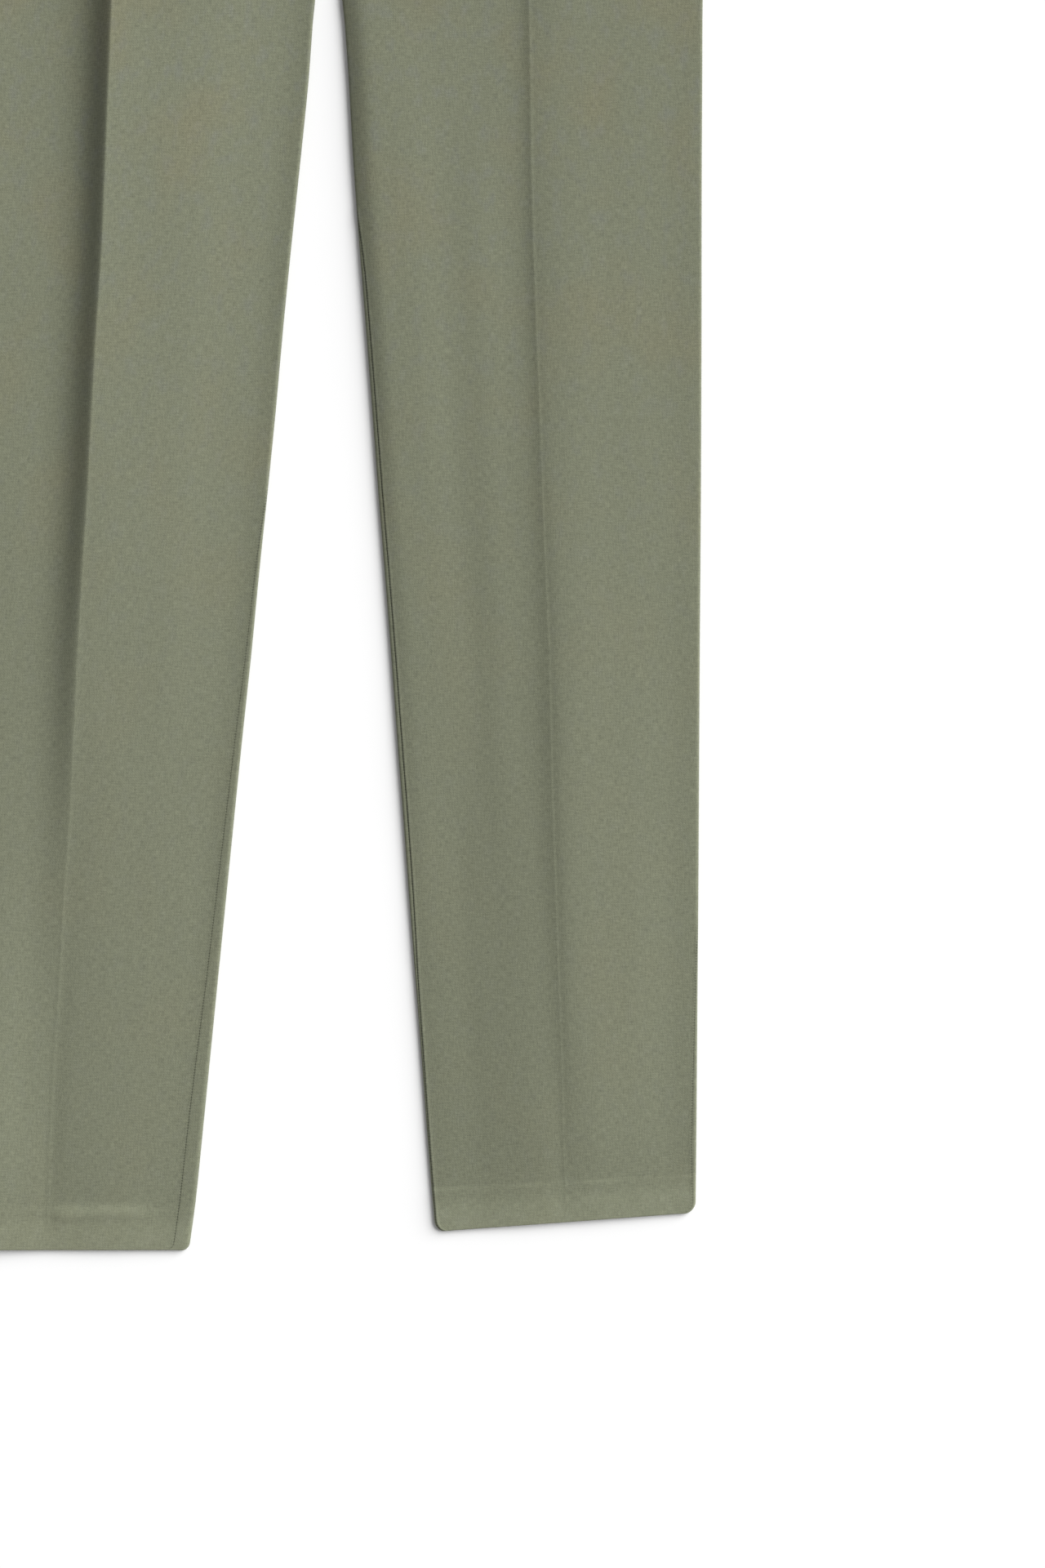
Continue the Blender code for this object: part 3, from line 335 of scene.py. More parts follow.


# painted highlight where the hem was pressed, for the shine it takes, 0 to 1 and more: a line 2 mm wide at
# its upper edge, the band, and a little of it over the whole turned-up hem
def paintedHemHighlight(side, x, above):
    banded = bandHere(side, x)
    line = np.exp(-((above - hem["depth"]) / hemHighlightLook["lineWide"]) ** 2)
    line = line * (hemHighlightLook["line"] + hemHighlightLook["lineVary"] * np.sin(x / 9.0 + np.sin(x / 23.0)))
    pressed = smooth(above, hem["bandFoot"] - 0.5, hem["bandFoot"] + 1.0)
    pressed = pressed * (1.0 - smooth(above, hemHighlightLook["bandTopFrom"], hem["bandTop"]))
    turnedUp = side["turnedUpHighlight"] * (1.0 - smooth(above, hem["depth"] - hemHighlightLook["hemReach"], hem["depth"] + 0.5))
    mark = line * (1.0 - hemHighlightLook["bandDulls"] * banded)
    mark = mark + hemHighlightLook["band"] * pressed * banded * side["hemBand"][2] + turnedUp
    return np.broadcast_to(mark, np.broadcast(x, above).shape)


# waist seam: side + (centre - side) * (1 - (x / half)^2)
def waistLine(x, back):
    share = np.minimum(np.abs(x) / layout["waistHalf"], 1.0) ** 2
    centre = layout["backWaist"] if back else layout["frontWaist"]
    return centre + (layout["sideWaist"] - centre) * share


# height of a folded side, outside to outside
def foldHigh(y):
    return layout["clothWall"] + 2 * rollAt(y)


# a folded side, a quarter of an ellipse flat by radius: s runs along it from half height, up positive;
# gives (way in, height)
def bend(radius, s, flat):
    turn = np.clip(s / radius, -math.pi / 2, math.pi / 2)
    beyond = np.maximum(np.abs(s) - radius * math.pi / 2, 0.0)
    return flat * (1.0 - np.cos(turn)) + beyond, radius * np.sin(turn)


# way along the fold to a seam that lies strip mm inside the edge
def stripWay(radius, strip):
    flat = layout["rollFlat"]
    inside = np.clip(strip - layout["clothWall"] / 2, 0.0, None)
    onBend = radius * np.arccos(np.clip(1.0 - inside / flat, -1.0, 1.0))
    return np.where(inside < flat, onBend, radius * math.pi / 2 + inside - flat)


# thickness share near a cut or folded edge: a round lip, sqrt(1 - (1 - d)^2)
def lip(distance, reach=lipReach):
    d = np.clip(distance / reach, 0.0, 1.0)
    return np.maximum(np.sqrt(1.0 - (1.0 - d) ** 2), 0.3)


# rows of a panel from the waist seam to the hem, closer at the hem and at the crotch
def panelRows(low):
    leg = np.arange(-0.0, -low + 12.0, -2.3)
    near = -low + np.array([0.0, 0.08, 0.25, 0.5, 0.9, 1.5, 2.3, 3.2, 4.4, 6.0, 8.0, 10.0])
    crotch = -np.array([0.15, 0.5, 1.0, 1.6, 3.2])
    hips = np.concatenate([np.arange(3.0, 209.0, 3.0), 212.0 - np.array([2.0, 1.0, 0.5, 0.2, 0.0])])
    return np.unique(np.concatenate([leg, near, crotch, hips]))[::-1]


# the y of each point: its row, tilted with the hem line below and curved with the waist seam above
def placeDown(side, x, y, above, back):
    inner, outer = innerEdge(side, y), legAt(side, "outer", y)
    share = np.clip((x - inner) / (outer - inner), 0.0, 1.0)
    low = max(side["hem"])
    drop = (low - side["hem"][0]) + (side["hem"][0] - side["hem"][1]) * share
    bent = (waistLine(x, back) - layout["sideWaist"]) * smooth(y, layout["waistBend"], layout["sideWaist"])
    return y + drop * (1.0 - smooth(above, 0.0, hem["tiltHigh"])) + bent


# how far the hem's rounded corner draws in
def hemCorner(side, above):
    radius = side["hemCorner"]
    return radius - np.sqrt(radius ** 2 - np.clip(radius - above, 0.0, radius) ** 2)


# what a leg's front and back share: rows, how far they are closed, places of the folded sides' outer
# faces, and the way along each side to its seam
def legLines(side):
    low = max(side["hem"])
    y = panelRows(low)[:, None]
    above = y + low
    wall, radius = layout["clothWall"], rollAt(y)
    shut = smooth(y, layout["shutFrom"], 0.0)
    draw = hemCorner(side, above)
    innerPlace = innerEdge(side, y) - shut * layout["rollFlat"] + (1.0 - shut) * wall / 2 + draw
    outerPlace = legAt(side, "outer", y) - wall / 2 - draw
    wayIn, wayOut = [stripWay(radius, along(side["seams"], seamColumns, name, y)) for name in seamColumns[1:]]
    return y, above, radius, shut, innerPlace, outerPlace, wayIn, wayOut


edgeShares = np.array([0.0, 0.03, 0.08, 0.17, 0.32, 0.55, 0.78, 1.0])[None, :]
pastFold = 2.6  # how far the close columns go on past the fold


# the front's middle surface: along the inner fold, across to the crease, on to the outer fold;
# x bunches at the crease as 1 - (1 - t)^1.5
def frontSurface(side):
    y, above, radius, shut, innerPlace, outerPlace, wayIn, wayOut = legLines(side)
    wall, gap, flat = layout["clothWall"], layout["seamGap"], layout["rollFlat"]
    quarter = radius * math.pi / 2
    if side["sign"] > 0:
        lap = fly["lap"] + layout["centreGap"]
        innerPlace = innerPlace - lap * smooth(y, fly["lapFrom"], fly["end"] - 4.0)
    crease = legAt(side, "crease", y)
    start = wayIn + gap / 2 + (quarter - wayIn - gap / 2) * shut
    finish = wayOut + gap / 2
    sIn = start + edgeShares * (np.maximum(start, quarter) + pastFold - start)
    sOut = finish + edgeShares * (np.maximum(finish, quarter) + pastFold - finish)
    intoIn, upIn = bend(radius, sIn, flat)
    intoOut, upOut = bend(radius, sOut, flat)
    xIn, xOut = innerPlace + intoIn, outerPlace - intoOut
    t = np.linspace(0.0, 1.0, 38)[None, 1:]
    first, last = xIn[:, -1:], xOut[:, -1:]
    xLeft = first + (crease - first) * (1.0 - (1.0 - t) ** 1.5)
    xRight = crease + (last - crease) * t[:, :-1] ** 1.5
    x = np.concatenate([xIn, xLeft, xRight, xOut[:, ::-1]], axis=1)
    level = np.broadcast_to(radius, (len(y), xLeft.shape[1] + xRight.shape[1]))
    up = np.concatenate([upIn, level, upOut[:, ::-1]], axis=1)
    part = np.concatenate([np.clip(sIn / quarter, 0, 1), np.ones_like(level),
                           np.clip(sOut / quarter, 0, 1)[:, ::-1]], axis=1)
    offIn, offOut = x - xIn[:, :1], xOut[:, :1] - x
    offIn[:, :sIn.shape[1]] = sIn - start
    offOut[:, -sOut.shape[1]:] = (sOut - finish)[:, ::-1]
    high = rise(side, x, y) + hemRise(side, x, above) + flyLift(side, x, y)
    openShare = 1.0 - shut
    deepIn, deepOut = side["seamDepth"]
    pucker = np.sin(fullTurn * y / sewn["puckerMm"] + 2.0 * np.sin(y / 23.0)) * sewn["pucker"]
    pucker = pucker * (np.exp(-offIn / sewn["puckerReach"]) + np.exp(-offOut / sewn["puckerReach"]))
    ridge = sewn["ridge"] * (deepIn * np.exp(-((offIn - sewn["ridgeAt"]) / sewn["ridgeWide"]) ** 2)
                             + deepOut * np.exp(-((offOut - sewn["ridgeAt"]) / sewn["ridgeWide"]) ** 2))
    groove = sewn["groove"] * (deepIn * np.exp(-offIn / sewn["grooveWide"]) * openShare
                               + deepOut * np.exp(-offOut / sewn["grooveWide"]))
    high = high + (ridge + pucker) * openShare - groove
    z = wall / 2 + radius + up + high * part ** 2
    down = placeDown(side, x, y, above, False)
    # where a seam is shallow, its edge stays thick
    rim = np.minimum(offIn + lipReach * (1.0 - deepIn), offOut + lipReach * (1.0 - deepOut))
    thick = wall * lip(above) * lip(rim) * lip(layout["sideWaist"] - y)
    # marks: the seams' dark lines, and the painted highlight of the pressed hem
    marks = {"seamMark": np.exp(-np.minimum(offIn + 3.0 * shut, offOut) / sewn["markWide"]),
             "pressHighlightMark": paintedHemHighlight(side, x, above)}
    return {"x": x * side["sign"], "y": down, "z": z, "thick": thick, "marks": marks}


# the back's middle surface: down the inner fold, flat on the table, up the outer fold
def backSurface(side):
    y, above, radius, shut, innerPlace, outerPlace, wayIn, wayOut = legLines(side)
    wall, gap, flat = layout["clothWall"], layout["seamGap"], layout["rollFlat"]
    quarter = radius * math.pi / 2
    endIn = wayIn - gap / 2 + (-quarter - wayIn + gap / 2) * shut
    endOut = wayOut - gap / 2
    shares = np.array([0.0, 0.03, 0.09, 0.18, 0.3, 0.42, 0.55, 0.68, 0.8, 0.9, 1.0])[None, :]
    sIn = endIn - shares * (endIn + quarter)
    sOut = endOut - shares * (endOut + quarter)
    intoIn, upIn = bend(radius, sIn, flat)
    intoOut, upOut = bend(radius, sOut, flat)
    xIn, xOut = innerPlace + intoIn, outerPlace - intoOut
    t = np.linspace(0.0, 1.0, 20)[None, 1:-1]
    xFlat = xIn[:, -1:] + (xOut[:, -1:] - xIn[:, -1:]) * t
    x = np.concatenate([xIn, xFlat, xOut[:, ::-1]], axis=1)
    up = np.concatenate([upIn, np.broadcast_to(-radius, xFlat.shape), upOut[:, ::-1]], axis=1)
    part = np.concatenate([np.clip(sIn / quarter, 0, 1), np.zeros_like(xFlat),
                           np.clip(sOut / quarter, 0, 1)[:, ::-1]], axis=1)
    noSeam = 99.0
    rest = x.shape[1] - sIn.shape[1]
    offIn = np.concatenate([endIn - sIn, np.full((len(y), rest), noSeam)], axis=1)
    offOut = np.concatenate([np.full((len(y), rest), noSeam), (endOut - sOut)[:, ::-1]], axis=1)
    off = np.minimum(offIn, offOut)
    deep = np.where(offIn < offOut, side["seamDepth"][0], side["seamDepth"][1])
    sunk = deep * (sewn["backGroove"] * np.exp(-off / sewn["backWide"]) + sewn["backSunk"])
    high = rise(side, x, y) + hemRise(side, x, above) - sunk
    z = wall / 2 + radius + up + high * part ** 2
    down = placeDown(side, x, y, above, True)
    thick = wall * lip(above) * lip(off + lipReach * (1.0 - deep)) * lip(layout["sideWaist"] - y)
    # marks: the seams' dark lines, and the painted highlight of the pressed hem
    marks = {"seamMark": np.exp(-off / sewn["markWide"]), "pressHighlightMark": paintedHemHighlight(side, x, above)}
    return {"x": x * side["sign"], "y": down, "z": z, "thick": thick, "marks": marks}


# a closed wall round a middle surface: points = middle +- normal * thick / 2, joined by a rim.
# Its UV map is the way across and down the cloth in metres, so that the weave follows the cut.
def clothWall(name, surface, material):
    mid = np.stack([surface["x"], surface["y"], surface["z"]], axis=2)
    normal = np.cross(np.gradient(mid, axis=0), np.gradient(mid, axis=1))
    normal /= np.maximum(np.linalg.norm(normal, axis=2, keepdims=True), 1e-9)
    half = surface["thick"][:, :, None] / 2
    sides = [mid + normal * half, mid - normal * half]
    for points in sides:
        points[:, :, 2] = np.maximum(points[:, :, 2], 0.0)
    rows, cols = mid.shape[:2]
    count = rows * cols
    index = np.arange(count).reshape(rows, cols)
    a, b, c, d = index[:-1, :-1], index[:-1, 1:], index[1:, 1:], index[1:, :-1]
    faces = [np.stack([a, b, c, d], axis=2).reshape(-1, 4)]
    faces.append(np.stack([a, d, c, b], axis=2).reshape(-1, 4) + count)
    ring = np.concatenate([index[:, 0], index[-1, 1:], index[-2::-1, -1], index[0, -2:0:-1]])
    following = np.roll(ring, -1)
    faces.append(np.stack([ring, following, following + count, ring + count], axis=1))
    verts = np.concatenate([p.reshape(-1, 3) for p in sides])
    verts = (verts + np.array([*layout["middle"], 0.0])) * 0.001
    across = np.linalg.norm(np.diff(mid, axis=1), axis=2)
    across = np.concatenate([np.zeros((rows, 1)), np.cumsum(across, axis=1)], axis=1)
    middle = cols // 2
    across = across - across[:, middle:middle + 1] + surface["x"][:, middle:middle + 1]
    uv = np.stack([across, surface["y"]], axis=2).reshape(-1, 2) * 0.001
    return makeMesh(name, verts, np.concatenate(faces), np.concatenate([uv, uv]), material,
                    {key: np.tile(mark.ravel(), 2) for key, mark in surface["marks"].items()})


def addObject(name, data):
    obj = bpy.data.objects.new(name, data)
    bpy.context.scene.collection.objects.link(obj)
    return obj


# the mesh as a piece that rides with the part
def makePiece(name, mesh, material):
    mesh.materials.append(material)
    obj = addObject(name, mesh)
    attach(obj, "root")
    return obj


# a mesh with its faces outwards, its UV map and its marks
def makeMesh(name, verts, faces, uv, material, marks):
    a, b, c, d = (verts[faces[:, k]] for k in range(4))
    volume = (np.einsum("ij,ij->i", a, np.cross(b, c)) + np.einsum("ij,ij->i", a, np.cross(c, d))).sum()
    if volume < 0:
        faces = faces[:, ::-1]
    mesh = bpy.data.meshes.new(name)
    mesh.from_pydata(verts.tolist(), [], faces.tolist())
    mesh.shade_smooth()
    layer = mesh.uv_layers.new(name="weave")
    layer.data.foreach_set("uv", uv[faces.ravel()].astype(np.float32).ravel())
    for key, values in marks.items():
        mesh.attributes.new(key, "FLOAT", "POINT").data.foreach_set("value", values.astype(np.float32))
    return makePiece(name, mesh, material)


# sRGB hex to linear RGBA
def linear(hexColour):
    parts = [int(hexColour[i:i + 2], 16) / 255 for i in (1, 3, 5)]
    return tuple(c / 12.92 if c <= 0.04045 else ((c + 0.055) / 1.055) ** 2.4 for c in parts) + (1.0,)


# adds a node with its settings, sets its inputs or links those that are sockets, and gives an output
def addNode(tree, kind, inputs=None, out=0, **settings):
    node = tree.nodes.new("ShaderNode" + kind)
    for key, value in settings.items():
        setattr(node, key, value)
    for key, value in (inputs or {}).items():
        if isinstance(value, bpy.types.NodeSocket):
            tree.links.new(value, node.inputs[key])
        else:
            node.inputs[key].default_value = value
    return node.outputs[out]


def newMaterial(name):
    material = bpy.data.materials.new(name)
    material.use_nodes = True
    return material, material.node_tree, material.node_tree.nodes["Principled BSDF"]


# Plain weave of wool and polyester: matt, with fine light and dark yarn flecks along and across,
# and patches where the dyed fibres mix differently, stronger towards the waist.
suiting = {
    "base": "#6f725f",
    "cool": "#6f7276",
    "warm": "#7d7150",
    "fleck": 0.4,  # how far a yarn fleck goes from the base
    "yarnMm": 0.8,  # real yarns are 0.5 mm apart, drawn coarser so that they show
    "fleckLongMm": 5.0,
    "patchMm": 9.0,
    "patchShare": 0.21,  # how far a patch goes to its own colour
    "patchFrom": (-0.50, -0.10),  # up the leg, in metres: none of the patches, all of them
    "stitchMm": 1.8,  # stitches along a seam
    "pressHighlight": 0.085,  # painted highlight: how much lighter the cloth is drawn where the hem was pressed
    "roughness": 0.88,
    "sheen": 0.12,
    "sheenRoughness": 0.5,
    "specular": 0.25,
    "bump": 0.25,
}


# shade scales the whole colour: below 1 it is painted shade
def suitingMaterial(name, look, shade=1.0):
    material, tree, shader = newMaterial(name)
    uv = addNode(tree, "UVMap", uv_map="weave")
    yarn, long, patchMm = look["yarnMm"], look["fleckLongMm"], look["patchMm"]
    # noises in cells of (across, down) mm: yarns down, yarns across, grain, and two sizes of patches
    noises = []
    for across, down, detail in ((yarn, long, 1.0), (long, yarn, 1.0), (0.9 * yarn, 0.9 * yarn, 2.0),
                                 (patchMm, 1.5 * patchMm, 2.0), (6.0 * patchMm, 8.0 * patchMm, 2.0)):
        place = addNode(tree, "Mapping", {"Vector": uv, "Scale": (1000 / across, 1000 / down, 1.0)})
        noises.append(addNode(tree, "TexNoise", {"Vector": place, "Scale": 1.0, "Detail": detail},
                              noise_dimensions="2D"))
    down, across, grain, patch, widePatch = noises
    yarns = addNode(tree, "Math", {0: down, 1: across}, operation="ADD")
    yarns = addNode(tree, "Math", {0: yarns, 1: grain}, operation="ADD")
    bright = addNode(tree, "Math", {0: yarns, 1: look["fleck"], 2: shade - 1.5 * look["fleck"]},
                     operation="MULTIPLY_ADD")
    split = addNode(tree, "SeparateXYZ", {0: uv}).node
    low, high = look["patchFrom"]
    here = addNode(tree, "MapRange", {0: split.outputs[1], 1: low, 2: high, 3: 0.25, 4: 1.0})
    colour = linear(look["base"])
    for pattern, mid, tint in ((patch, 0.5, "cool"), (widePatch, 0.48, "warm")):
        share = addNode(tree, "MapRange", {0: pattern, 1: mid, 2: mid + 0.3, 3: 0.0, 4: look["patchShare"]})
        share = addNode(tree, "Math", {0: share, 1: here}, operation="MULTIPLY")
        colour = addNode(tree, "Mix", {"Factor": share, "A": colour, "B": linear(look[tint])},
                         out=2, data_type="RGBA")
    # stitches along a seam: sin(2 pi v / stitch), dark where the thread sinks in
    stitch = addNode(tree, "Math", {0: split.outputs[1], 1: 2 * math.pi * 1000 / look["stitchMm"]},
                     operation="MULTIPLY")
    stitch = addNode(tree, "Math", {0: stitch}, operation="SINE")
    stitch = addNode(tree, "MapRange", {0: stitch, 1: -1.0, 2: 1.0, 3: 0.0, 4: 0.6})
    seam = addNode(tree, "Attribute", out="Fac", attribute_name="seamMark")
    sunk = addNode(tree, "Math", {0: seam, 1: stitch}, operation="MULTIPLY")
    sunk = addNode(tree, "Math", {0: 1.0, 1: sunk}, operation="SUBTRACT")
    bright = addNode(tree, "Math", {0: bright, 1: sunk}, operation="MULTIPLY")
    # painted highlight for the shine where the hem was pressed, uneven along it
    highlight = addNode(tree, "Attribute", out="Fac", attribute_name="pressHighlightMark")
    uneven = addNode(tree, "Math", {0: patch, 1: 0.5, 2: 0.25}, operation="MULTIPLY_ADD")
    highlight = addNode(tree, "Math", {0: highlight, 1: uneven}, operation="MULTIPLY")
    bright = addNode(tree, "Math", {0: highlight, 1: 2.0 * look["pressHighlight"], 2: bright},
                     operation="MULTIPLY_ADD")
    shaded = addNode(tree, "VectorMath", {0: colour, "Scale": bright}, operation="SCALE")
    tree.links.new(shaded, shader.inputs["Base Color"])
    shader.inputs["Roughness"].default_value = look["roughness"]
    shader.inputs["Sheen Weight"].default_value = look["sheen"]
    shader.inputs["Sheen Roughness"].default_value = look["sheenRoughness"]
    shader.inputs["Specular IOR Level"].default_value = look["specular"]
    # over and under of the yarns: sin(pi u / yarn) * sin(pi v / yarn)
    waves = []
    for k in (0, 1):
        turn = addNode(tree, "Math", {0: split.outputs[k], 1: math.pi * 1000 / yarn}, operation="MULTIPLY")
        waves.append(addNode(tree, "Math", {0: turn}, operation="SINE"))
    weave = addNode(tree, "Math", {0: waves[0], 1: waves[1]}, operation="MULTIPLY")
    relief = addNode(tree, "Math", {0: grain, 1: 1.5, 2: weave}, operation="MULTIPLY_ADD")
    bump = addNode(tree, "Bump", {"Height": relief, "Strength": look["bump"], "Distance": 0.0001})
    tree.links.new(bump, shader.inputs["Normal"])
    return material


cloth = suitingMaterial("wool-blend plain weave", suiting)
# the waistband's cloth is the suiting drawn 2% darker: painted shade
shadedBandCloth = suitingMaterial("wool-blend plain weave, doubled, painted shade", suiting, 0.98)
print("cloth materials made")

for label, side in (("Left", leftLeg), ("Right", rightLeg)):
    for where, surface in (("back", backSurface), ("front", frontSurface)):
        key = where + label
        clothWall(key + "Panel", surface(side), cloth)
        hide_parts(where + "_" + label.lower())
print("panels made")

# Waistband: doubled cloth with round folds, 38 mm high
band = {
    "lapOver": 3.0,  # the left half ends this far past the centre line
    "lapUnder": 30.0,  # and the right half runs this far under it
    "lift": 2.3,
    "liftFade": (34.0, 74.0),  # the left half's lift goes out from x to x
    "lip": 1.0,
    "markWide": 0.5,
    "rowShares": (0.0, 0.006, 0.02, 0.05, 0.12, 0.25, 0.4, 0.55, 0.7, 0.82, 0.9, 0.95, 0.98, 0.994, 1.0),
}


# radius of the waistband's fold, in the middle of its wall
def bandRadius():
    return layout["roll"][1] + layout["clothWall"] / 2 - layout["bandWall"] / 2


# middle height of a front band at x: the front's rise at the waist, plus the lap's lift
def bandHeight(side, x):
    lift = band["lift"] if side["sign"] > 0 else 0.0
    y = np.full(np.shape(x), layout["sideWaist"])
    high = rise(side, np.maximum(x, layout["nearCentre"]), y) + lift * (1.0 - smooth(x, *band["liftFade"]))
    return layout["bandWall"] / 2 + 2 * bandRadius() + high


# what the bands share at the places x: rows up from the seam, their heights, walls and marks
def bandRows(x, back):
    share = np.array(band["rowShares"])[:, None]
    y = waistLine(x, back) + layout["seamGap"] + layout["bandHigh"] * share
    thick = layout["bandWall"] * lip(np.minimum(share, 1.0 - share) * layout["bandHigh"], band["lip"])
    marks = {"seamMark": np.exp(-share * layout["bandHigh"] / band["markWide"]) * np.ones_like(x)}
    return share, y, thick, marks


# a front band's middle surface: from its end near the centre line out, then down the folded side
def bandFrontSurface(side):
    radius, wall = bandRadius(), layout["bandWall"]
    quarter = radius * math.pi / 2
    centre = -band["lapOver"] if side["sign"] > 0 else -band["lapUnder"]
    s = layout["seamGap"] / 2 + np.array([1.4, 1.15, 0.9, 0.7, 0.5, 0.32, 0.16, 0.06, 0.0]) * quarter
    into, up = bend(radius, s, radius)
    xEdge = layout["waistHalf"] - wall / 2 - into
    near = centre + np.array([0.0, 0.1, 0.3, 0.7, 1.3])
    level = np.concatenate([near, np.linspace(centre + 2.5, xEdge[0] - 0.8, 70)])
    x = np.concatenate([level, xEdge])[None, :]
    part = np.concatenate([np.ones(len(level)), np.clip(s / quarter, 0, 1)])[None, :]
    level = np.concatenate([np.full(len(level), radius), up])[None, :]
    share, y, thick, marks = bandRows(x, False)
    soft = 0.12 * np.sin(x / 31.0 + 4.0 * share) * np.sin(math.pi * share)
    z = wall / 2 + radius + level + (bandHeight(side, x) - wall / 2 - 2 * radius) * part ** 2 + soft * part
    thick = thick * lip(np.minimum(x - centre, layout["waistHalf"] - x + 1.0), band["lip"])
    shape = y.shape
    return {"x": np.broadcast_to(x * side["sign"], shape), "y": y, "z": np.broadcast_to(z, shape),
            "thick": thick, "marks": marks}


# the back band's middle surface: up both folded sides from the flat between them
def bandBackSurface():
    radius, wall = bandRadius(), layout["bandWall"]
    quarter = radius * math.pi / 2
    s = -layout["seamGap"] / 2 - np.array([0.0, 0.04, 0.1, 0.2, 0.35, 0.5, 0.65, 0.8, 1.0]) * (
        quarter - layout["seamGap"] / 2)
    into, up = bend(radius, s, radius)
    xEdge = layout["waistHalf"] - wall / 2 - into
    flat = np.linspace(-xEdge[-1] + 1.0, xEdge[-1] - 1.0, 90)
    x = np.concatenate([-xEdge, flat, xEdge[::-1]])[None, :]
    level = np.concatenate([up, np.full(len(flat), -radius), up[::-1]])[None, :]
    y, thick, marks = bandRows(x, True)[1:]
    return {"x": np.broadcast_to(x, y.shape), "y": y,
            "z": np.broadcast_to(wall / 2 + radius + level, y.shape),
            "thick": thick * np.ones_like(x), "marks": marks}


for label, side in (("Left", leftLeg), ("Right", rightLeg)):
    clothWall("waistbandFront" + label, bandFrontSurface(side), shadedBandCloth)
    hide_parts("waistband_front_" + label.lower())
clothWall("waistbandBack", bandBackSurface(), shadedBandCloth)
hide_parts("waistband_back")
print("waistband made")


zipLook = {"tape": 0.6, "chainX": 7.0, "chainHigh": 0.7, "toothMm": 1.6, "toothLong": 5.6,
           "toothRadius": 0.38, "toothSunk": 0.05, "shield": 1.0, "sheetLip": 0.5, "ribMm": 0.8,
           "tapeColour": "#565948"}


# a sheet under the fly, down mm under the middle of the right front
def flySheet(name, xs, top, end, down, wall, material):
    y = np.linspace(top, end, 60)[:, None]
    x = np.asarray(xs)[None, :]
    under = np.where(x > -layout["nearCentre"], layout["nearCentre"], -x)
    height = foldHigh(y) - layout["solidWall"] / 2 + rise(rightLeg, under, y) - down
    shape = np.broadcast(x, y).shape
    edge = np.minimum(x - x.min(), x.max() - x)
    thick = wall * lip(edge, zipLook["sheetLip"]) * lip(np.minimum(y - end, top - y), zipLook["sheetLip"])
    return clothWall(name, {"x": np.broadcast_to(x, shape), "y": np.broadcast_to(y, shape), "z": height,
                            "thick": thick * np.ones(shape), "marks": {}}, material)


# woven polyester tape: ribbed, with a faint shine
def tapeMaterial():
    material, tree, shader = newMaterial("woven polyester zip tape")
    uv = addNode(tree, "UVMap", uv_map="weave")
    split = addNode(tree, "SeparateXYZ", {0: uv})
    ribs = addNode(tree, "Math", {0: split, 1: 2 * math.pi * 1000 / zipLook["ribMm"]}, operation="MULTIPLY")
    wave = addNode(tree, "Math", {0: ribs}, operation="SINE")
    shade = addNode(tree, "MapRange", {0: wave, 1: -1.0, 2: 1.0, 3: 0.8, 4: 1.1})
    colour = addNode(tree, "VectorMath", {0: linear(zipLook["tapeColour"])[:3], "Scale": shade},
                     operation="SCALE")
    tree.links.new(colour, shader.inputs["Base Color"])
    bump = addNode(tree, "Bump", {"Height": wave, "Strength": 0.4, "Distance": 0.0001})
    tree.links.new(bump, shader.inputs["Normal"])
    shader.inputs["Roughness"].default_value = 0.7
    return material


tapeDown = layout["solidWall"] / 2 + layout["sheetGap"] + zipLook["tape"] / 2
shieldDown = tapeDown + zipLook["tape"] / 2 + layout["sheetGap"] + zipLook["shield"] / 2
# the fly shield's cloth is the suiting drawn 10% darker: painted shade for lying under the fly
shadedShieldCloth = suitingMaterial("wool-blend plain weave, fly shield", suiting, 0.9)
shield = flySheet("flyShield", np.linspace(-13.0, 36.0, 30), fly["top"], fly["end"], shieldDown,
                  zipLook["shield"], shadedShieldCloth)
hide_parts("fly_shield")
tape = flySheet("zipTape", np.linspace(-6.0, 19.0, 26), fly["top"] - 2, fly["end"] + 4, tapeDown,
                zipLook["tape"], tapeMaterial())
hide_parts("zip_tape")


# Small round-ended bars (stitches, zip teeth), each a capsule of 6 by 5 points:
# centre + 1.1 * tangent * length/2 * cos(pi v) + ring * radius * sin(pi v), and a tip at each end
def barRow(name, centres, tangents, length, radius, material):
    tangents, normals = (np.broadcast_to(way, centres.shape) for way in (tangents, [0.0, 0.0, 1.0]))
    v = np.linspace(0.0, 1.0, 5)[1:-1]
    turn = np.arange(6) * math.pi / 3
    side = np.cross(tangents, normals)
    ring = (normals[:, None, None] * np.cos(turn)[None, None, :, None]
            + side[:, None, None] * np.sin(turn)[None, None, :, None])
    lengthways = tangents[:, None, None] * (length / 2) * np.cos(math.pi * v)[None, :, None, None] * 1.1
    body = centres[:, None, None] + lengthways + ring * radius * np.sin(math.pi * v)[None, :, None, None]
    tips = centres[:, None] + tangents[:, None] * (length / 2) * np.array([1.0, -1.0])[None, :, None]
    count, each = len(centres), 3 * 6 + 2
    verts = np.concatenate([body.reshape(count, 18, 3), tips], axis=1)
    k = np.arange(6)
    n = (k + 1) % 6
    quads = np.concatenate([np.stack([r + k, r + n, r + 6 + n, r + 6 + k], axis=1) for r in (0, 6)])
    caps = np.concatenate([np.stack([np.full(6, 18), n, k], axis=1),
                           np.stack([np.full(6, 19), 12 + k, 12 + n], axis=1)])
    first = (np.arange(count) * each)[:, None, None]
    faces = (quads[None] + first).reshape(-1, 4).tolist() + (caps[None] + first).reshape(-1, 3).tolist()
    verts = (verts.reshape(-1, 3) + np.array([*layout["middle"], 0.0])) * 0.001
    mesh = bpy.data.meshes.new(name)
    mesh.from_pydata(verts.tolist(), [], faces)
    mesh.shade_smooth()
    return makePiece(name, mesh, material)


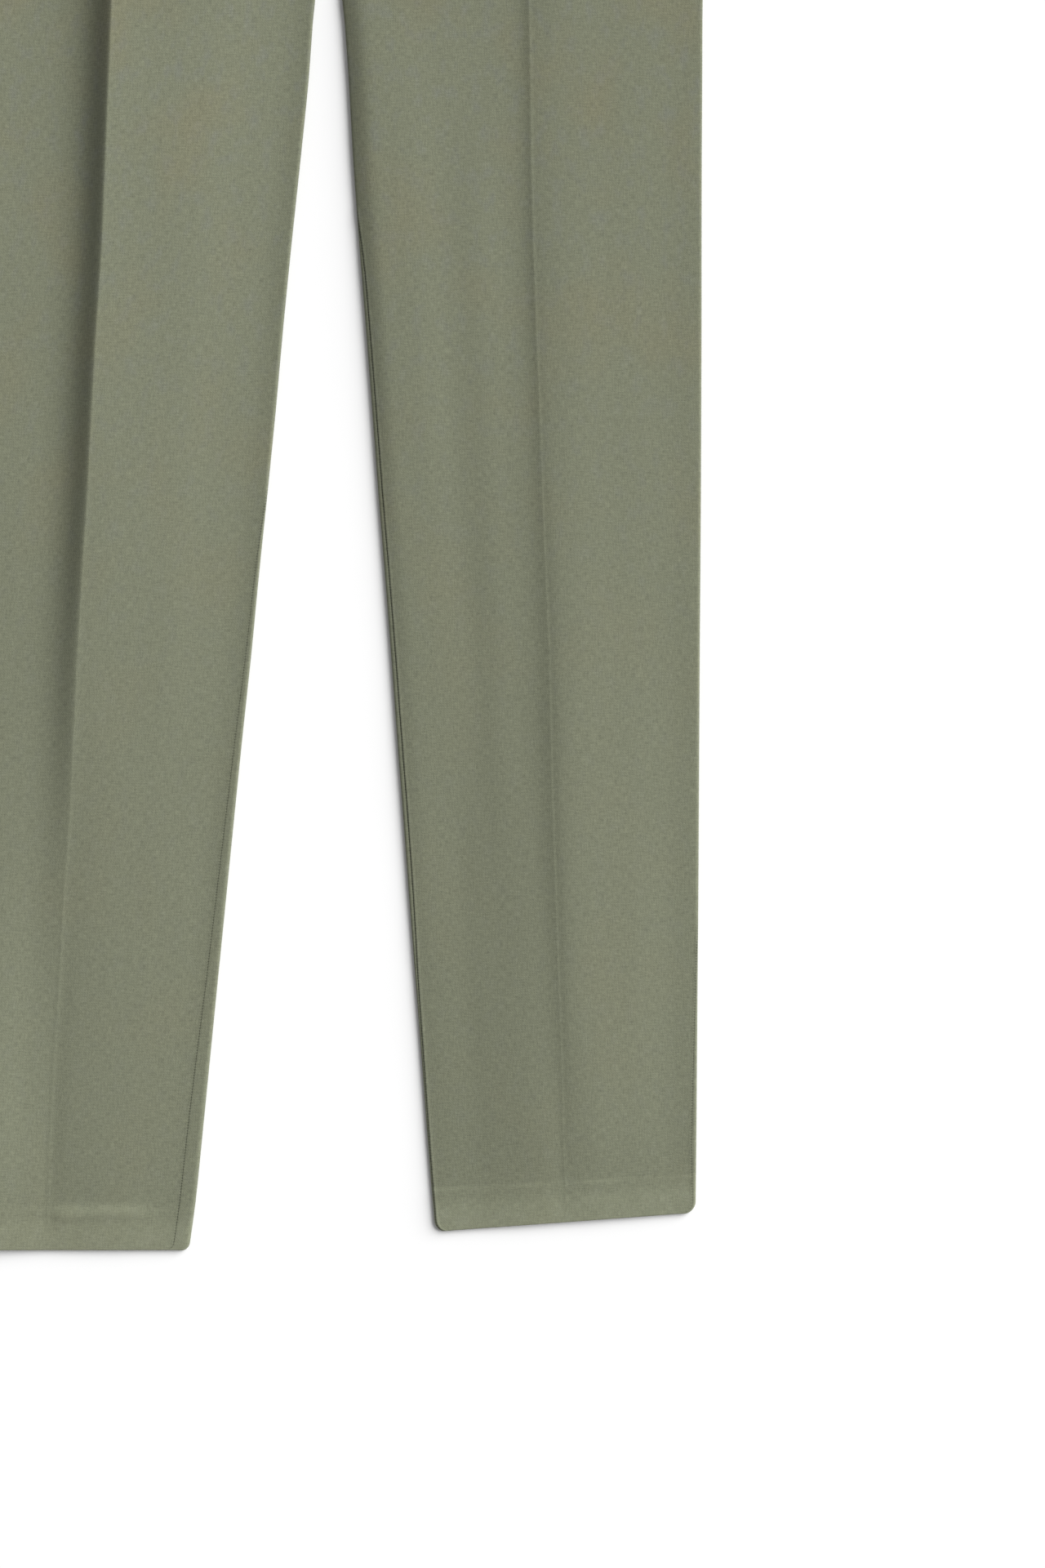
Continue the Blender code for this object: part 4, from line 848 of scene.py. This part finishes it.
# one colour, varying in patches by vary of itself
def plainMaterial(name, colour, roughness, metallic, patchMm, vary):
    material, tree, shader = newMaterial(name)
    place = addNode(tree, "TexCoord", out="Object")
    noise = addNode(tree, "TexNoise", {"Vector": place, "Scale": 1000 / patchMm, "Detail": 3.0})
    shade = addNode(tree, "MapRange", {0: noise, 1: 0.3, 2: 0.7, 3: 1.0 - vary, 4: 1.0 + vary})
    mixed = addNode(tree, "VectorMath", {0: linear(colour)[:3], "Scale": shade}, operation="SCALE")
    tree.links.new(mixed, shader.inputs["Base Color"])
    rough = addNode(tree, "MapRange", {0: noise, 1: 0.3, 2: 0.7, 3: roughness * 0.85, 4: roughness * 1.15})
    tree.links.new(rough, shader.inputs["Roughness"])
    shader.inputs["Metallic"].default_value = metallic
    return material


# twisted polyester sewing thread: satin, a shade darker than the cloth
thread = plainMaterial("spun polyester thread", "#66684f", 0.55, 0.0, 0.6, 0.2)
# plated zinc alloy, rubbed dull
metal = plainMaterial("antique plated zinc alloy", "#a3967a", 0.38, 1.0, 1.5, 0.08)
# turned polyester button: dark brown-grey marbling under a polish
buttonPlastic = plainMaterial("turned polyester, marbled", "#3d372e", 0.25, 0.0, 4.0, 0.45)

# teeth lie across the chain
toothY = np.arange(fly["top"] - 4, fly["end"] + 6, -zipLook["toothMm"])
besideCentre = np.full(toothY.shape, layout["nearCentre"])
toothZ = foldHigh(toothY) - layout["solidWall"] / 2 + rise(rightLeg, besideCentre, toothY)
toothZ = toothZ - tapeDown + (zipLook["tape"] + zipLook["chainHigh"]) / 2 - zipLook["toothSunk"]
teeth = barRow("zipTeeth", np.stack([np.full(toothY.shape, zipLook["chainX"]), toothY, toothZ], axis=1),
               [1.0, 0.0, 0.0], zipLook["toothLong"], zipLook["toothRadius"], metal)
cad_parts["zip_slider"].data.materials[0] = metal
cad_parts["waist_button"].data.materials[0] = buttonPlastic
print("zip made")


# height of the left front's face over its fly
def flyFace(x, y):
    return foldHigh(y) + (rise(leftLeg, np.maximum(x, layout["nearCentre"]), y) + flyLift(leftLeg, x, y))


# fly stitching: straight down beside the lap, then a quarter turn in to the edge above the crotch
flyStitch = {"pitchMm": 2.7, "longMm": 2.0, "radiusMm": 0.2, "turnMm": 30.0}
turnMm, edgeMm = flyStitch["turnMm"], fly["stitchFromEdge"]
lowMm = fly["end"] + 6.0
runDown = fly["top"] - (lowMm + turnMm)
lengthAll = runDown + math.pi / 2 * turnMm + (edgeMm - turnMm)
at = np.arange(1.5, lengthAll, flyStitch["pitchMm"])
angle = np.clip((at - runDown) / turnMm, 0.0, math.pi / 2)
beyond = np.maximum(at - runDown - math.pi / 2 * turnMm, 0.0)
stitchX = edgeMm - turnMm * (1 - np.cos(angle)) - beyond
stitchY = np.where(at < runDown, fly["top"] - at, lowMm + turnMm - turnMm * np.sin(angle))
tangent = np.stack([-np.sin(angle), -np.cos(angle), np.zeros(len(at))], axis=1)
centre = np.stack([stitchX, stitchY, flyFace(stitchX, stitchY) + 0.02], axis=1)
jStitch = barRow("flyStitching", centre, tangent, flyStitch["longMm"], flyStitch["radiusMm"], thread)

# buttonhole: a row of short stitches across both lips, from beside the button towards the hip
hole = {"fromX": 9.0, "toX": 31.0, "share": 0.55, "fromMid": 1.35, "pitchMm": 0.62, "longMm": 2.4,
        "radiusMm": 0.3, "above": 0.03}
holeX = np.arange(hole["fromX"], hole["toX"], hole["pitchMm"])
holeY = waistLine(holeX, False) + layout["seamGap"] + layout["bandHigh"] * hole["share"]
holeZ = bandHeight(leftLeg, holeX) + layout["bandWall"] / 2 + hole["above"]
holeCentres = np.concatenate([np.stack([holeX, holeY + lipSide * hole["fromMid"], holeZ], axis=1)
                              for lipSide in (-1.0, 1.0)])
buttonhole = barRow("buttonhole", holeCentres, [0.0, 1.0, 0.0], hole["longMm"], hole["radiusMm"], thread)

# the button's thread: two strands over each pair of holes
strand = {"fromMid": 1.7, "half": 0.28, "sunk": 0.35, "longMm": 5.0, "radiusMm": 0.3}
buttonLow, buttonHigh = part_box("waist_button")
buttonMid = (np.array(buttonLow) + np.array(buttonHigh)) / 2 * 1000 - np.array([*layout["middle"], 0.0])
overMid = buttonHigh[2] * 1000 - buttonMid[2] - strand["sunk"]
strands = np.array([[0.0, pair * strand["fromMid"] + apart, overMid]
                    for pair in (-1, 1) for apart in (-strand["half"], strand["half"])])
buttonThread = barRow("buttonThread", buttonMid + strands, [1.0, 0.0, 0.0],
                      strand["longMm"], strand["radiusMm"], thread)
print("sewing made")

# Camera: straight down, at a distance at which the photo's height is tallMm at the height level. The
# photo's middle is at centre, counted from the centre line and the crotch.
shot = {"lens": 150.0, "sensor": 36.0, "tallMm": 1017.6, "centre": (126.1, -548.55), "level": 2.0}
camera = addObject("camera", bpy.data.cameras.new("camera"))
camera.data.lens = shot["lens"]
camera.data.sensor_width = shot["sensor"]
camera.data.sensor_fit = "AUTO"
away = shot["tallMm"] * shot["lens"] / shot["sensor"] + shot["level"]
camera.location = [(shot["centre"][0] + layout["middle"][0]) * 0.001,
                   (shot["centre"][1] + layout["middle"][1]) * 0.001, away * 0.001]
camera.rotation_euler = (0.0, 0.0, 0.0)
camera.data.clip_end = 50.0
bpy.context.scene.camera = camera

# Light: one soft sun low from the right and slightly from the top, and an even white surround
light = {"power": 5.17, "fromXDeg": 25.0, "upDeg": 33.0, "softDeg": 60.0, "surround": 0.31}
sun = addObject("softSun", bpy.data.lights.new("softSun", "SUN"))
sun.data.energy = light["power"]
sun.data.angle = math.radians(light["softDeg"])
azimuth, height = math.radians(light["fromXDeg"]), math.radians(light["upDeg"])
level = math.cos(height)
towards = Vector((math.cos(azimuth) * level, math.sin(azimuth) * level, math.sin(height)))
sun.rotation_mode = "QUATERNION"
sun.rotation_quaternion = towards.to_track_quat("Z", "Y")
world = bpy.data.worlds.new("surround")
world.use_nodes = True
world.node_tree.nodes["Background"].inputs["Color"].default_value = (1.0, 1.0, 1.0, 1.0)
world.node_tree.nodes["Background"].inputs["Strength"].default_value = light["surround"]
bpy.context.scene.world = world
bpy.context.scene.view_settings.view_transform = "Standard"

# white card under the trousers, in metres: half its width, and how far it lies under them
reach, under = 6.0, 0.0002
floorMesh = bpy.data.meshes.new("floor")
floorMesh.from_pydata([(-reach, -reach, -under), (reach, -reach, -under), (reach, reach, -under),
                       (-reach, reach, -under)], [], [(0, 1, 2, 3)])
floor = addObject("floor", floorMesh)
floorMesh.materials.append(plainMaterial("matt white card", "#ececec", 0.9, 0.0, 80.0, 0.004))
print("stage made")
